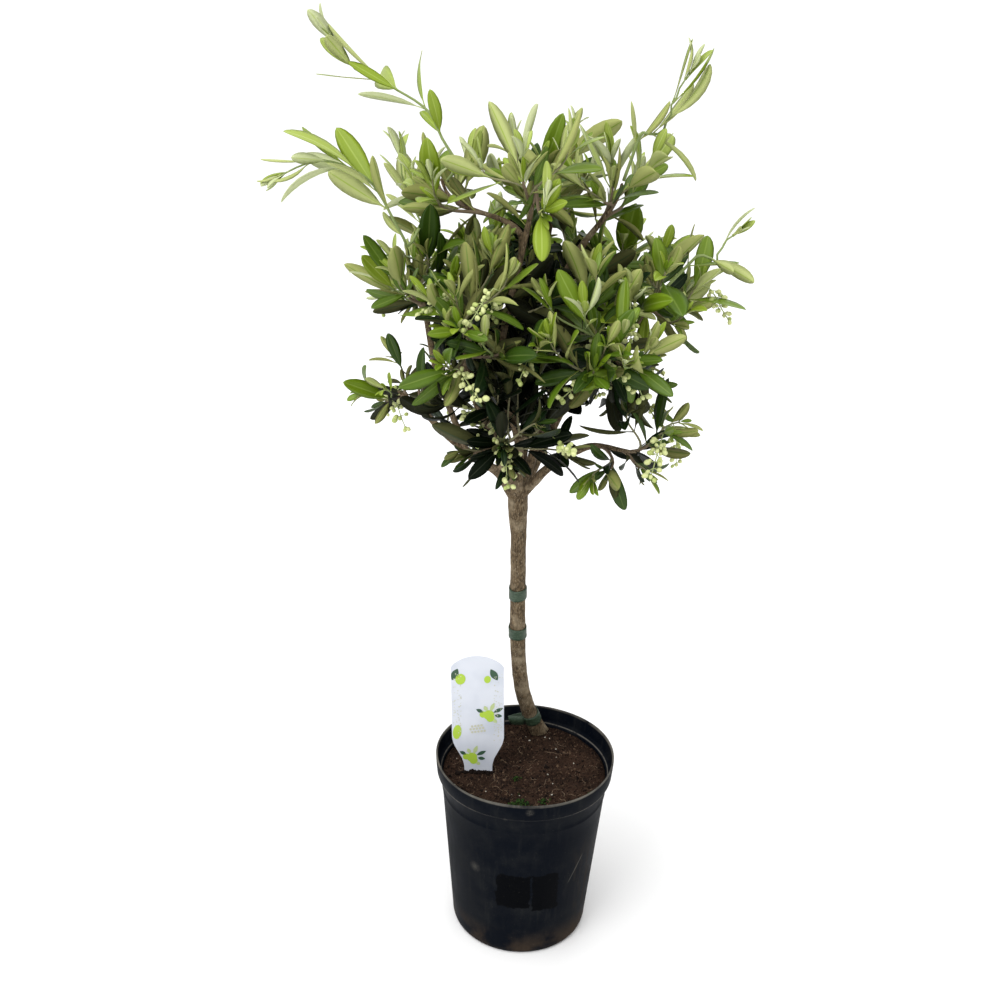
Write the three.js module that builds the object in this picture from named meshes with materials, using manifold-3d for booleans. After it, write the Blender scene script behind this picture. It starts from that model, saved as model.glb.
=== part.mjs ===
// A young olive grown as a patio standard: a bare leaning stem with a ball of
// branches on top, in a round black nursery pot with a plant label.
// Millimetres, +Z up. The origin is the centre of the pot's flat underside,
// +X is to the right of the label's printed face and that face looks along -Y.
import * as THREE from 'three';
import { mergeVertices } from 'three/addons/utils/BufferGeometryUtils.js';
import Module from 'manifold-3d';

const wasm = await Module();
wasm.setup();

// ---------------------------------------------------------------- sizes

const CLEARANCE = 0.3;
const ROUND_SIDES = 32;

const POT = {
  height: 211,
  rimRadius: 95,
  bandHeight: 18.5,
  bandFootRadius: 93.6,
  bodyTopRadius: 89.3,
  bodyFootRadius: 74,
  footRadius: 68,
  footRound: 12,
  footBulge: { out: 0.72, up: 0.28 },
  lipBevel: { height: 2, inset: 0.8 },
  wall: 2,
  floor: 2.5,
};
const DRAIN = { count: 8, radius: 5, circle: 50, sides: 10 };
const SOIL = { top: 191 };
const GROUND = { side: 200, depth: 100 };

const TRUNK = {
  foot: [16, 72, 191],
  bends: [[1, 58, 233], [-7, 47, 272], [-12, 36, 330], [-15, 20, 430]],
  fork: [-18, 7, 504],
  buried: 14,
  flareRadius: 9.6,
  flareHeight: 22,
  lowRadius: 8.2,
  highRadius: 7.7,
  forkRadius: 10.4,
  swellShare: 0.12,
  sides: 11,
  stations: 16,
};
const STUB = { at: [-22, 6, 505], tip: [-31, 3, 508], radius: 2.6, sides: 6 };

const LIMB = { sides: 6, stations: 7 };
const SHOOT = { sides: 6, stations: 7 };

// Each bough: where it leaves, the bends on its way, the mass it runs into.
const BOUGHS = [
  { name: 'bough_left_low', from: [-20, 5, 506], via: [[-40, -20, 547], [-64, -40, 570]],
    into: 'foliage_low_left', radii: [5.2, 3.4] },
  { name: 'bough_left', from: [-66, -41, 571], via: [[-82, -58, 618], [-98, -50, 660]],
    into: 'foliage_mid_left', radii: [3.3, 2.4] },
  { name: 'bough_front_left', from: [-19, 2, 508], via: [[-32, -22, 552], [-66, -50, 647]],
    into: 'foliage_mid_front_left', radii: [5.6, 3.2] },
  { name: 'bough_front', from: [-17, 0, 510], via: [[-20, -24, 585], [-40, -54, 655]],
    into: 'foliage_top_front', radii: [4.6, 2.8] },
  { name: 'bough_low_front', from: [-20, -20, 572], via: [[-14, -48, 588]],
    into: 'foliage_low_front', radii: [3, 2.2] },
  { name: 'bough_right_low', from: [-14, 6, 508], via: [[12, -18, 553], [47, -38, 581]],
    into: 'foliage_low_right', radii: [5, 3] },
  { name: 'bough_right', from: [-14, 8, 510], via: [[4, -14, 593], [46, -36, 655]],
    into: 'foliage_mid_right', radii: [5, 3] },
  { name: 'bough_centre', from: [-17, 10, 512], via: [[-12, 12, 600], [-4, 8, 690]],
    into: 'foliage_top_right', radii: [5.6, 2.8] },
  { name: 'bough_back', from: [-18, 13, 508], via: [[-12, 34, 590], [-6, 48, 690]],
    into: 'foliage_top_back', radii: [4.8, 2.8] },
  { name: 'bough_back_right', from: [-14, 12, 508], via: [[18, 34, 580], [48, 56, 640]],
    into: 'foliage_mid_back_right', radii: [4.6, 2.8] },
  { name: 'bough_back_left', from: [-21, 12, 508], via: [[-52, 34, 585], [-80, 52, 650]],
    into: 'foliage_mid_back_left', radii: [4.6, 2.8] },
];

// The crown is built in three tiers round its own axis. A heading of 0 is to
// the right, 90 is the back and 270 the front. "out" is the distance of a
// mass from the axis and "lift" its height above the tier's own.
const CROWN_AXIS = { x: -6, y: 0 };
const TIERS = [
  { label: 'low', height: 606, radii: [62, 60, 44], detail: 3, masses: {
    right: { heading: -34, out: 106, lift: -20 },
    back_right: { heading: 38, out: 98, lift: -2 },
    back_left: { heading: 116, out: 98, lift: -4 },
    left: { heading: 184, out: 116, lift: 8 },
    front: { heading: 252, out: 98, lift: 2 },
  } },
  { label: 'mid', height: 704, radii: [60, 60, 60], detail: 3, masses: {
    right: { heading: -8, out: 102, lift: 14 },
    back_right: { heading: 52, out: 108, lift: -6 },
    back_left: { heading: 116, out: 110, lift: 0 },
    left: { heading: 178, out: 106, lift: 14 },
    front_left: { heading: 238, out: 102, lift: -2 },
    front_right: { heading: 300, out: 100, lift: -8 },
  } },
  { label: 'top', height: 808, radii: [58, 56, 60], detail: 3, masses: {
    right: { heading: -10, out: 66, lift: -2 },
    back: { heading: 78, out: 64, lift: -14 },
    left: { heading: 176, out: 84, lift: -2 },
    front: { heading: 262, out: 56, lift: 10 },
  } },
];
const LOBES = { depth: 0.17, ripple: 0.08 };
const HALF_GAP = 1.5;
const FACING_LIMIT = 0.05;

// Leading shoots stand clear of the crown and carry its furthest tips. Their
// girth swells from the slim share of it at both ends to all of it between.
const SHOOT_FORM = { slim: 0.3, from: 0.12, to: 0.92 };
const LEADERS = [
  { name: 'leader_top_left', girth: 15,
    route: [[-84, -32, 838], [-98, -28, 868], [-128, -20, 892], [-166, -20, 906], [-193, -20, 941]] },
  { name: 'leader_left', girth: 13,
    route: [[-128, -44, 770], [-146, -56, 815], [-176, -60, 838], [-208, -60, 838], [-232, -60, 822]] },
  { name: 'leader_top_right', girth: 16,
    route: [[74, -24, 820], [86, -20, 848], [97, -20, 882], [112, -20, 918]] },
  { name: 'leader_right', girth: 15,
    route: [[118, -24, 722], [138, -26, 742], [158, -24, 783]] },
  { name: 'leader_back', girth: 15,
    route: [[10, 88, 790], [18, 110, 820], [22, 126, 846]] },
  { name: 'leader_back_left', girth: 15,
    route: [[-110, 92, 736], [-134, 112, 778], [-146, 128, 822]] },
];

const LABEL = {
  foot: [-51, -7, SOIL.top + 0.6],
  width: 55,
  footWidth: 30,
  stem: 15,
  taper: 22,
  side: 91,
  arch: 14,
  archFullness: 0.8,
  thickness: 0.8,
  lean: -1.8,
};

const TAPE = { width: 13, thickness: 1.3, slack: 0.8, sides: 14 };
const TIES = [
  { name: 'tie_upper', middle: 391.5 },
  { name: 'tie_lower', middle: 341 },
  { name: 'tie_base', middle: 219, tail: { length: 20, thickness: 4, height: 10, heading: 196 } },
];

// ------------------------------------------------------------- finishes

const finish = (color, roughness, metalness = 0) =>
  new THREE.MeshStandardMaterial({ color, roughness, metalness });

const FINISHES = {
  plastic: finish(0x15181d, 0.55),
  soil: finish(0x2c1d15, 0.95),
  bark: finish(0x7b6752, 0.85),
  foliage: finish(0x5f7d2e, 0.6),
  label: finish(0xf2f2ee, 0.4),
  tape: finish(0x2f5a34, 0.5),
};

// -------------------------------------------------------------- solids

/** Turns a closed three.js geometry into a solid that can be joined and cut. */
function solidOf(geometry) {
  const bare = geometry.index ? geometry.clone() : geometry;
  bare.deleteAttribute('normal');
  bare.deleteAttribute('uv');
  const merged = mergeVertices(bare, 1e-4);
  return new wasm.Manifold(new wasm.Mesh({
    numProp: 3,
    vertProperties: Float32Array.from(merged.attributes.position.array),
    triVerts: Uint32Array.from(merged.index.array),
  }));
}

/** Turns a solid back into a three.js geometry. */
function geometryOf(solid) {
  const mesh = solid.getMesh();
  const geometry = new THREE.BufferGeometry();
  geometry.setAttribute('position', new THREE.BufferAttribute(mesh.vertProperties, 3));
  geometry.setIndex(new THREE.BufferAttribute(mesh.triVerts, 1));
  geometry.computeVertexNormals();
  return geometry;
}

/** A solid of revolution about +Z through [radius, height] pairs. */
function turned(profile, sides) {
  const outline = profile.map(([radius, height]) => new THREE.Vector2(radius, height));
  return new THREE.LatheGeometry(outline, sides).rotateX(Math.PI / 2);
}

const curveThrough = (points) =>
  new THREE.CatmullRomCurve3(points.map((point) => new THREE.Vector3(...point)));

/**
 * A round limb along a curve. radiusAt gives its radius from 0 at the foot to
 * 1 at the tip; a straight turned limb is bent so that its axis is the curve.
 */
function limbAlong(curve, radiusAt, sides, stations) {
  const profile = [new THREE.Vector2(0, 0)];
  for (let i = 0; i <= stations; i += 1) {
    profile.push(new THREE.Vector2(radiusAt(i / stations), i));
  }
  profile.push(new THREE.Vector2(0, stations));
  const straight = new THREE.LatheGeometry(profile, sides);
  const frames = curve.computeFrenetFrames(stations);
  const position = straight.attributes.position;
  const point = new THREE.Vector3();
  for (let i = 0; i < position.count; i += 1) {
    const station = Math.round(position.getY(i));
    const across = frames.normals[station];
    const aside = new THREE.Vector3().crossVectors(across, frames.tangents[station]);
    curve.getPointAt(station / stations, point);
    point.addScaledVector(across, position.getX(i));
    point.addScaledVector(aside, position.getZ(i));
    position.setXYZ(i, point.x, point.y, point.z);
  }
  return straight;
}

const mix = (low, high, share) => low + (high - low) * share;
const smooth = (share) => THREE.MathUtils.smoothstep(share, 0, 1);

// ---------------------------------------------------------- pot and soil

function potSolid() {
  const bandFoot = POT.height - POT.bandHeight;
  const outside = [
    [0, 0],
    [POT.footRadius, 0],
    [mix(POT.footRadius, POT.bodyFootRadius, POT.footBulge.out), POT.footRound * POT.footBulge.up],
    [POT.bodyFootRadius, POT.footRound],
    [POT.bodyTopRadius, bandFoot - 2],
    [POT.bandFootRadius, bandFoot],
    [POT.rimRadius, POT.height - POT.lipBevel.height],
    [POT.rimRadius - POT.lipBevel.inset, POT.height],
  ];
  const inside = [
    [POT.rimRadius - POT.wall - 0.6, POT.height],
    [POT.bandFootRadius - POT.wall, bandFoot + 1.5],
    [POT.bodyTopRadius - POT.wall, bandFoot - 1],
    [POT.bodyFootRadius - POT.wall, POT.footRound + 1],
    [POT.footRadius - POT.wall, POT.floor],
    [0, POT.floor],
  ];
  let pot = solidOf(turned([...outside, ...inside], ROUND_SIDES));
  for (let i = 0; i < DRAIN.count; i += 1) {
    const angle = (2 * Math.PI * (i + 0.5)) / DRAIN.count;
    const hole = new THREE.CylinderGeometry(DRAIN.radius, DRAIN.radius, 4 * POT.floor, DRAIN.sides);
    hole.rotateX(Math.PI / 2);
    hole.translate(DRAIN.circle * Math.cos(angle), DRAIN.circle * Math.sin(angle), 0);
    pot = pot.subtract(solidOf(hole));
  }
  return pot;
}

function soilSolid() {
  const inset = POT.wall + CLEARANCE;
  return solidOf(turned([
    [0, POT.floor + CLEARANCE],
    [POT.footRadius - inset, POT.floor + CLEARANCE],
    [POT.bodyFootRadius - inset, POT.footRound + 1],
    [POT.bodyTopRadius - inset, SOIL.top - 1],
    [POT.bodyTopRadius - inset - 1.5, SOIL.top],
    [0, SOIL.top],
  ], ROUND_SIDES));
}

// -------------------------------------------------------- trunk and ties

const trunkCurve = (() => {
  const foot = new THREE.Vector3(...TRUNK.foot);
  const lean = new THREE.Vector3(...TRUNK.bends[0]).sub(foot).normalize();
  const root = foot.clone().addScaledVector(lean, -TRUNK.buried).toArray();
  return curveThrough([root, TRUNK.foot, ...TRUNK.bends, TRUNK.fork]);
})();

/** The trunk's radius at a height: flared at the foot, swollen at the fork. */
function trunkRadius(height) {
  const above = height - SOIL.top;
  const span = TRUNK.fork[2] - SOIL.top;
  const taper = mix(TRUNK.lowRadius, TRUNK.highRadius, THREE.MathUtils.clamp(above / span, 0, 1));
  const flare = 1 - smooth(above / TRUNK.flareHeight);
  const swell = smooth(1 - (1 - above / span) / TRUNK.swellShare);
  return taper + (TRUNK.flareRadius - TRUNK.lowRadius) * flare
    + (TRUNK.forkRadius - TRUNK.highRadius) * swell;
}

const trunkRadiusAt = (share) => trunkRadius(trunkCurve.getPointAt(share).z);

function trunkSolid(grown = 0) {
  const trunk = solidOf(limbAlong(
    trunkCurve, (share) => trunkRadiusAt(share) + grown, TRUNK.sides, TRUNK.stations));
  const stub = solidOf(limbAlong(
    curveThrough([STUB.at, STUB.tip]), () => STUB.radius + grown, STUB.sides, 2));
  const block = new THREE.BoxGeometry(GROUND.side, GROUND.side, GROUND.depth);
  block.translate(TRUNK.foot[0], TRUNK.foot[1], SOIL.top + CLEARANCE - GROUND.depth / 2);
  return trunk.add(stub).subtract(solidOf(block));
}

/** The share of the trunk's length at which its axis reaches a height. */
function shareAtHeight(height) {
  let low = 0;
  let high = 1;
  for (let i = 0; i < 30; i += 1) {
    const middle = (low + high) / 2;
    if (trunkCurve.getPointAt(middle).z < height) {
      low = middle;
    } else {
      high = middle;
    }
  }
  return low;
}

/** A turn of flat tape closed round the trunk, square to it. */
function tieSolid(tie) {
  const share = shareAtHeight(tie.middle);
  const along = trunkCurve.getTangentAt(share);
  const snug = (trunkRadius(tie.middle) + TAPE.slack) / Math.cos(Math.PI / TAPE.sides);
  const half = TAPE.width / 2;
  const ring = turned([
    [snug, -half],
    [snug + TAPE.thickness, -half],
    [snug + TAPE.thickness, half],
    [snug, half],
    [snug, -half],
  ], TAPE.sides);
  let band = solidOf(ring);
  if (tie.tail) {
    const { length, thickness, height, heading } = tie.tail;
    const tail = new THREE.BoxGeometry(length, thickness, height);
    tail.translate(snug + TAPE.thickness / 2 + length / 2, 0, 0);
    tail.rotateZ(THREE.MathUtils.degToRad(heading));
    band = band.add(solidOf(tail));
  }
  const turn = new THREE.Quaternion().setFromUnitVectors(new THREE.Vector3(0, 0, 1), along);
  const place = new THREE.Matrix4().makeRotationFromQuaternion(turn);
  place.setPosition(trunkCurve.getPointAt(share));
  return solidOf(geometryOf(band).applyMatrix4(place));
}

// --------------------------------------------------------------- foliage

/** Every foliage mass of the three tiers, with its centre and half sizes. */
function listMasses() {
  const masses = [];
  for (const tier of TIERS) {
    for (const [side, place] of Object.entries(tier.masses)) {
      const heading = THREE.MathUtils.degToRad(place.heading);
      masses.push({
        name: `foliage_${tier.label}_${side}`,
        detail: tier.detail,
        phase: 1.7 * masses.length,
        radii: new THREE.Vector3(...tier.radii),
        centre: new THREE.Vector3(
          CROWN_AXIS.x + place.out * Math.cos(heading),
          CROWN_AXIS.y + place.out * Math.sin(heading),
          tier.height + place.lift,
        ),
      });
    }
  }
  return masses;
}

const MASSES = listMasses();

/** How far a mass reaches along a unit direction: lobed, and kept off its neighbours. */
function reachOf(mass, direction) {
  const { x, y, z } = direction;
  const lobes = Math.sin(4.1 * x + mass.phase) * Math.cos(3.7 * y - mass.phase)
    + 0.8 * Math.sin(4.6 * z + 2.3 * mass.phase);
  const ripple = Math.sin(11 * x + 3 * mass.phase) * Math.sin(10 * y + 7 * z + mass.phase);
  const oval = 1 / Math.hypot(x / mass.radii.x, y / mass.radii.y, z / mass.radii.z);
  let reach = oval * (1 + LOBES.depth * lobes + LOBES.ripple * ripple);
  for (const other of MASSES) {
    const between = new THREE.Vector3().subVectors(other.centre, mass.centre);
    const distance = between.length();
    const facing = distance > 0 ? direction.dot(between) / distance : 0;
    if (facing > FACING_LIMIT) {
      reach = Math.min(reach, (distance / 2 - HALF_GAP) / facing);
    }
  }
  return reach;
}

/** A closed uneven mass about its own centre, grown outwards by a margin. */
function massGeometry(mass, grown = 0) {
  const shape = new THREE.IcosahedronGeometry(1, mass.detail);
  const position = shape.attributes.position;
  const direction = new THREE.Vector3();
  for (let i = 0; i < position.count; i += 1) {
    direction.fromBufferAttribute(position, i).normalize();
    const reach = reachOf(mass, direction) + grown;
    position.setXYZ(i, direction.x * reach, direction.y * reach, direction.z * reach);
  }
  return shape;
}

const massSolid = (mass, grown = 0) =>
  solidOf(massGeometry(mass, grown).translate(mass.centre.x, mass.centre.y, mass.centre.z));

const massNamed = (name) => MASSES.find((mass) => mass.name === name);

/** A leading shoot with its leaves: slim at the foot, full above, drawn to a tip. */
function leaderSolid(leader) {
  const fullness = (share) => Math.sin(Math.PI * mix(SHOOT_FORM.from, SHOOT_FORM.to, share));
  const girth = (share) => leader.girth * mix(SHOOT_FORM.slim, 1, fullness(share));
  const shape = solidOf(limbAlong(curveThrough(leader.route), girth, SHOOT.sides, SHOOT.stations));
  return MASSES.reduce((rest, mass) => rest.subtract(massSolid(mass, CLEARANCE)), shape);
}

// ---------------------------------------------------------------- boughs

function boughSolid(bough, grown = 0) {
  const mass = massNamed(bough.into);
  const curve = curveThrough([bough.from, ...bough.via, mass.centre.toArray()]);
  const [thick, thin] = bough.radii;
  return solidOf(limbAlong(curve, (share) => mix(thick, thin, share) + grown, LIMB.sides, LIMB.stations));
}

/** A bough cut where it leaves its parent limb and where it enters its mass. */
function fittedBough(bough, index) {
  let solid = boughSolid(bough)
    .subtract(trunkSolid(CLEARANCE))
    .subtract(massSolid(massNamed(bough.into), CLEARANCE));
  for (const earlier of BOUGHS.slice(0, index)) {
    solid = solid.subtract(boughSolid(earlier, CLEARANCE));
  }
  return solid;
}

/** A mass with the limbs that only pass it cut clear. */
function fittedMass(mass) {
  let solid = massSolid(mass);
  for (const bough of BOUGHS.filter(({ into }) => into !== mass.name)) {
    solid = solid.subtract(boughSolid(bough, CLEARANCE));
  }
  return solid.translate(mass.centre.clone().negate().toArray());
}

// ----------------------------------------------------------------- label

/** A stiff plastic tag: arched top, straight sides, drawn in to a narrow stem. */
function labelGeometry() {
  const half = LABEL.width / 2;
  const halfFoot = LABEL.footWidth / 2;
  const waist = LABEL.stem + LABEL.taper;
  const shoulder = waist + LABEL.side;
  const crest = shoulder + LABEL.arch;
  const outline = new THREE.Shape();
  outline.moveTo(-halfFoot, 0);
  outline.lineTo(halfFoot, 0);
  outline.lineTo(halfFoot, LABEL.stem);
  outline.lineTo(half, waist);
  outline.lineTo(half, shoulder);
  outline.quadraticCurveTo(half * LABEL.archFullness, crest, 0, crest);
  outline.quadraticCurveTo(-half * LABEL.archFullness, crest, -half, shoulder);
  outline.lineTo(-half, waist);
  outline.lineTo(-halfFoot, LABEL.stem);
  outline.closePath();
  const tag = new THREE.ExtrudeGeometry(outline, {
    depth: LABEL.thickness, bevelEnabled: false, curveSegments: 5,
  });
  return tag.rotateX(Math.PI / 2);
}

// -------------------------------------------------------------- assembly

function piece(name, geometry, material) {
  const mesh = new THREE.Mesh(geometry, material);
  mesh.name = name;
  return mesh;
}

const tree = new THREE.Group();

const container = new THREE.Group();
container.add(piece('pot', geometryOf(potSolid()), FINISHES.plastic));
container.add(piece('soil', geometryOf(soilSolid()), FINISHES.soil));
const tag = piece('label', geometryOf(solidOf(labelGeometry())), FINISHES.label);
tag.position.set(...LABEL.foot);
tag.rotation.y = THREE.MathUtils.degToRad(LABEL.lean);
container.add(tag);
tree.add(container);

const wood = new THREE.Group();
wood.add(piece('trunk', geometryOf(trunkSolid()), FINISHES.bark));
BOUGHS.forEach((bough, index) => {
  wood.add(piece(bough.name, geometryOf(fittedBough(bough, index)), FINISHES.bark));
});
for (const tie of TIES) {
  wood.add(piece(tie.name, geometryOf(tieSolid(tie)), FINISHES.tape));
}
tree.add(wood);

const crown = new THREE.Group();
for (const mass of MASSES) {
  const clump = piece(mass.name, geometryOf(fittedMass(mass)), FINISHES.foliage);
  clump.position.copy(mass.centre);
  crown.add(clump);
}
for (const leader of LEADERS) {
  crown.add(piece(leader.name, geometryOf(leaderSolid(leader)), FINISHES.foliage));
}
tree.add(crown);

export default tree;
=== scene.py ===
"""A young olive standard in a nursery pot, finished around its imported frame.

The frame gives every size and place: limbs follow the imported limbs, the crown grows from their ends
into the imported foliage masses, and pot, soil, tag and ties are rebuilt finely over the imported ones.
"""
import logging
import math
from dataclasses import dataclass, field
from enum import Enum
from typing import Iterable, Sequence

import bmesh
import bpy
import numpy as np
from mathutils import Matrix, Vector, noise
from mathutils.bvhtree import BVHTree


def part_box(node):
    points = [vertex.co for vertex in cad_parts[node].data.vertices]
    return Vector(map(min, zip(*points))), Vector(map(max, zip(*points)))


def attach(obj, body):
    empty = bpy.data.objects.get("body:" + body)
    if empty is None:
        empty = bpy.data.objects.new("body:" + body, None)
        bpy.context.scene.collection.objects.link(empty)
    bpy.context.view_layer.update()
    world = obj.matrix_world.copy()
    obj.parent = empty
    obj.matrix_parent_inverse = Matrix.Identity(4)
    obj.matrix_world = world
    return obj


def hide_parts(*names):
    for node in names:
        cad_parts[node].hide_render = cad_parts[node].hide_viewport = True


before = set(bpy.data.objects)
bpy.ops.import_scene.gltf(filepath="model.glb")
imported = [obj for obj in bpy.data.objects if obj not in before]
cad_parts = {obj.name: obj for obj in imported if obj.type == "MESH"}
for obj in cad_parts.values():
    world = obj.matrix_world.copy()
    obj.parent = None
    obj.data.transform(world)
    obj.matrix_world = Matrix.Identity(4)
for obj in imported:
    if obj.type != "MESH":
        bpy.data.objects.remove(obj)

LOG = logging.getLogger("olive")
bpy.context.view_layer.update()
MM = 0.001
UP = np.array([0.0, 0.0, 1.0])
UP_VECTOR = Vector((0, 0, 1))
BODY = "root"


# ---------------------------------------------------------------------------
# shader helpers
# ---------------------------------------------------------------------------

class Shade:
    """A shader socket or number that arithmetic can be written on."""

    def __init__(self, book: "NodeBook", value: object) -> None:
        """Wraps a socket of the book's node tree, or a plain number."""
        self.book = book
        self.value = value

    def _math(self, operation: str, *others: object) -> "Shade":
        """Adds one Math node that reads this value first.

        Args:
            operation: the Math node's operation.
            others: further inputs, sockets or numbers.

        Returns:
            The node's result.
        """
        return self.book.node("ShaderNodeMath", {"operation": operation}, [self, *others])

    def __add__(self, other: object) -> "Shade":
        """Sum."""
        return self._math("ADD", other)

    def __radd__(self, other: object) -> "Shade":
        """Reflected sum."""
        return self._math("ADD", other)

    def __sub__(self, other: object) -> "Shade":
        """Difference."""
        return self._math("SUBTRACT", other)

    def __rsub__(self, other: object) -> "Shade":
        """Reflected difference, so that 1 - mask works."""
        return Shade(self.book, other)._math("SUBTRACT", self)

    def __mul__(self, other: object) -> "Shade":
        """Product."""
        return self._math("MULTIPLY", other)

    def __rmul__(self, other: object) -> "Shade":
        """Reflected product."""
        return self._math("MULTIPLY", other)

    def __pow__(self, other: object) -> "Shade":
        """Power."""
        return self._math("POWER", other)

    def size(self) -> "Shade":
        """The value without its sign."""
        return self._math("ABSOLUTE")

    def ramp(self, low: float, high: float) -> "Shade":
        """A smooth step of this value from 0 at low to 1 at high."""
        return self.book.node("ShaderNodeMapRange", {"interpolation_type": "SMOOTHSTEP"},
                              {"Value": self, "From Min": low, "From Max": high})


class NodeBook:
    """One material's node tree, written through a single method."""

    def __init__(self, name: str) -> None:
        """Starts a material with a Principled shader."""
        self.material = bpy.data.materials.new(name)
        self.material.use_nodes = True
        self.tree = self.material.node_tree
        self.surface = self.tree.nodes["Principled BSDF"]

    def node(self, kind: str, settings: dict[str, object] | None = None,
             inputs: Sequence[object] | dict[str, object] | None = None,
             output: int | str = 0) -> Shade:
        """Adds a node, sets it up and links or fills its inputs.

        Args:
            kind: the node's type name.
            settings: attributes set before anything else; a ramp's stops go under "stops".
            inputs: values or links by position or by socket name.
            output: which output to hand back.

        Returns:
            The chosen output, ready for arithmetic.
        """
        made = self.tree.nodes.new(kind)
        for key, value in (settings or {}).items():
            if key == "stops":
                self._set_stops(made.color_ramp, value)
            else:
                setattr(made, key, value)
        pairs = inputs.items() if isinstance(inputs, dict) else enumerate(inputs or [])
        for key, value in pairs:
            self.feed(made.inputs[key], value)
        return Shade(self, made.outputs[output])

    @staticmethod
    def _set_stops(ramp: bpy.types.ColorRamp, stops: Sequence[tuple[float, Sequence[float]]]) -> None:
        """Gives a colour ramp its stops."""
        while len(ramp.elements) < len(stops):
            ramp.elements.new(1.0)
        for element, (place, colour) in zip(ramp.elements, stops):
            element.position = place
            element.color = (*colour, 1.0)

    def feed(self, socket: bpy.types.NodeSocket, value: object) -> None:
        """Links a Shade that holds a socket, or fills in a plain value."""
        if isinstance(value, Shade):
            value = value.value
        if isinstance(value, bpy.types.NodeSocket):
            self.tree.links.new(value, socket)
        elif isinstance(value, (tuple, list)) and len(value) == 3 and socket.type == "RGBA":
            socket.default_value = (*value, 1.0)
        else:
            socket.default_value = value

    def place(self, scale: Sequence[float] = (1, 1, 1)) -> Shade:
        """Object coordinates in metres, stretched by a scale along each axis."""
        coordinates = self.node("ShaderNodeTexCoord", output="Object")
        return self.node("ShaderNodeMapping", {"vector_type": "POINT"},
                         {"Vector": coordinates, "Scale": tuple(scale)})

    def noise(self, where: Shade, scale: float, detail: float = 3.0, rough: float = 0.55) -> Shade:
        """Fractal noise from 0 to 1."""
        return self.node("ShaderNodeTexNoise", {},
                         {"Vector": where, "Scale": scale, "Detail": detail, "Roughness": rough})

    def blend(self, share: object, low: object, high: object) -> Shade:
        """A mix of two colours by a share from 0 to 1."""
        return self.node("ShaderNodeMix", {"data_type": "RGBA"},
                         {0: share, 6: low, 7: high}, output=2)

    def set(self, **values: object) -> "NodeBook":
        """Fills or links the Principled shader's sockets, underscores standing for spaces."""
        for key, value in values.items():
            self.feed(self.surface.inputs[key.replace("_", " ")], value)
        return self

    def bump(self, height: Shade, strength: float, distance: float) -> None:
        """Feeds a height to the shader's normal."""
        self.set(Normal=self.node("ShaderNodeBump", {}, {
            "Strength": strength, "Distance": distance, "Height": height}))


# ---------------------------------------------------------------------------
# finishes
# ---------------------------------------------------------------------------

Colour = tuple[float, float, float]


@dataclass(frozen=True)
class PlainFinish:
    """A finish with one colour and a gloss, for small things that are many."""

    name: str
    colour: Colour
    roughness: float = 0.5
    shine: float = 0.3

    def make(self) -> bpy.types.Material:
        """Builds the material."""
        book = NodeBook(self.name)
        book.set(Base_Color=self.colour, Roughness=self.roughness, Specular_IOR_Level=self.shine)
        return book.material


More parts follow.
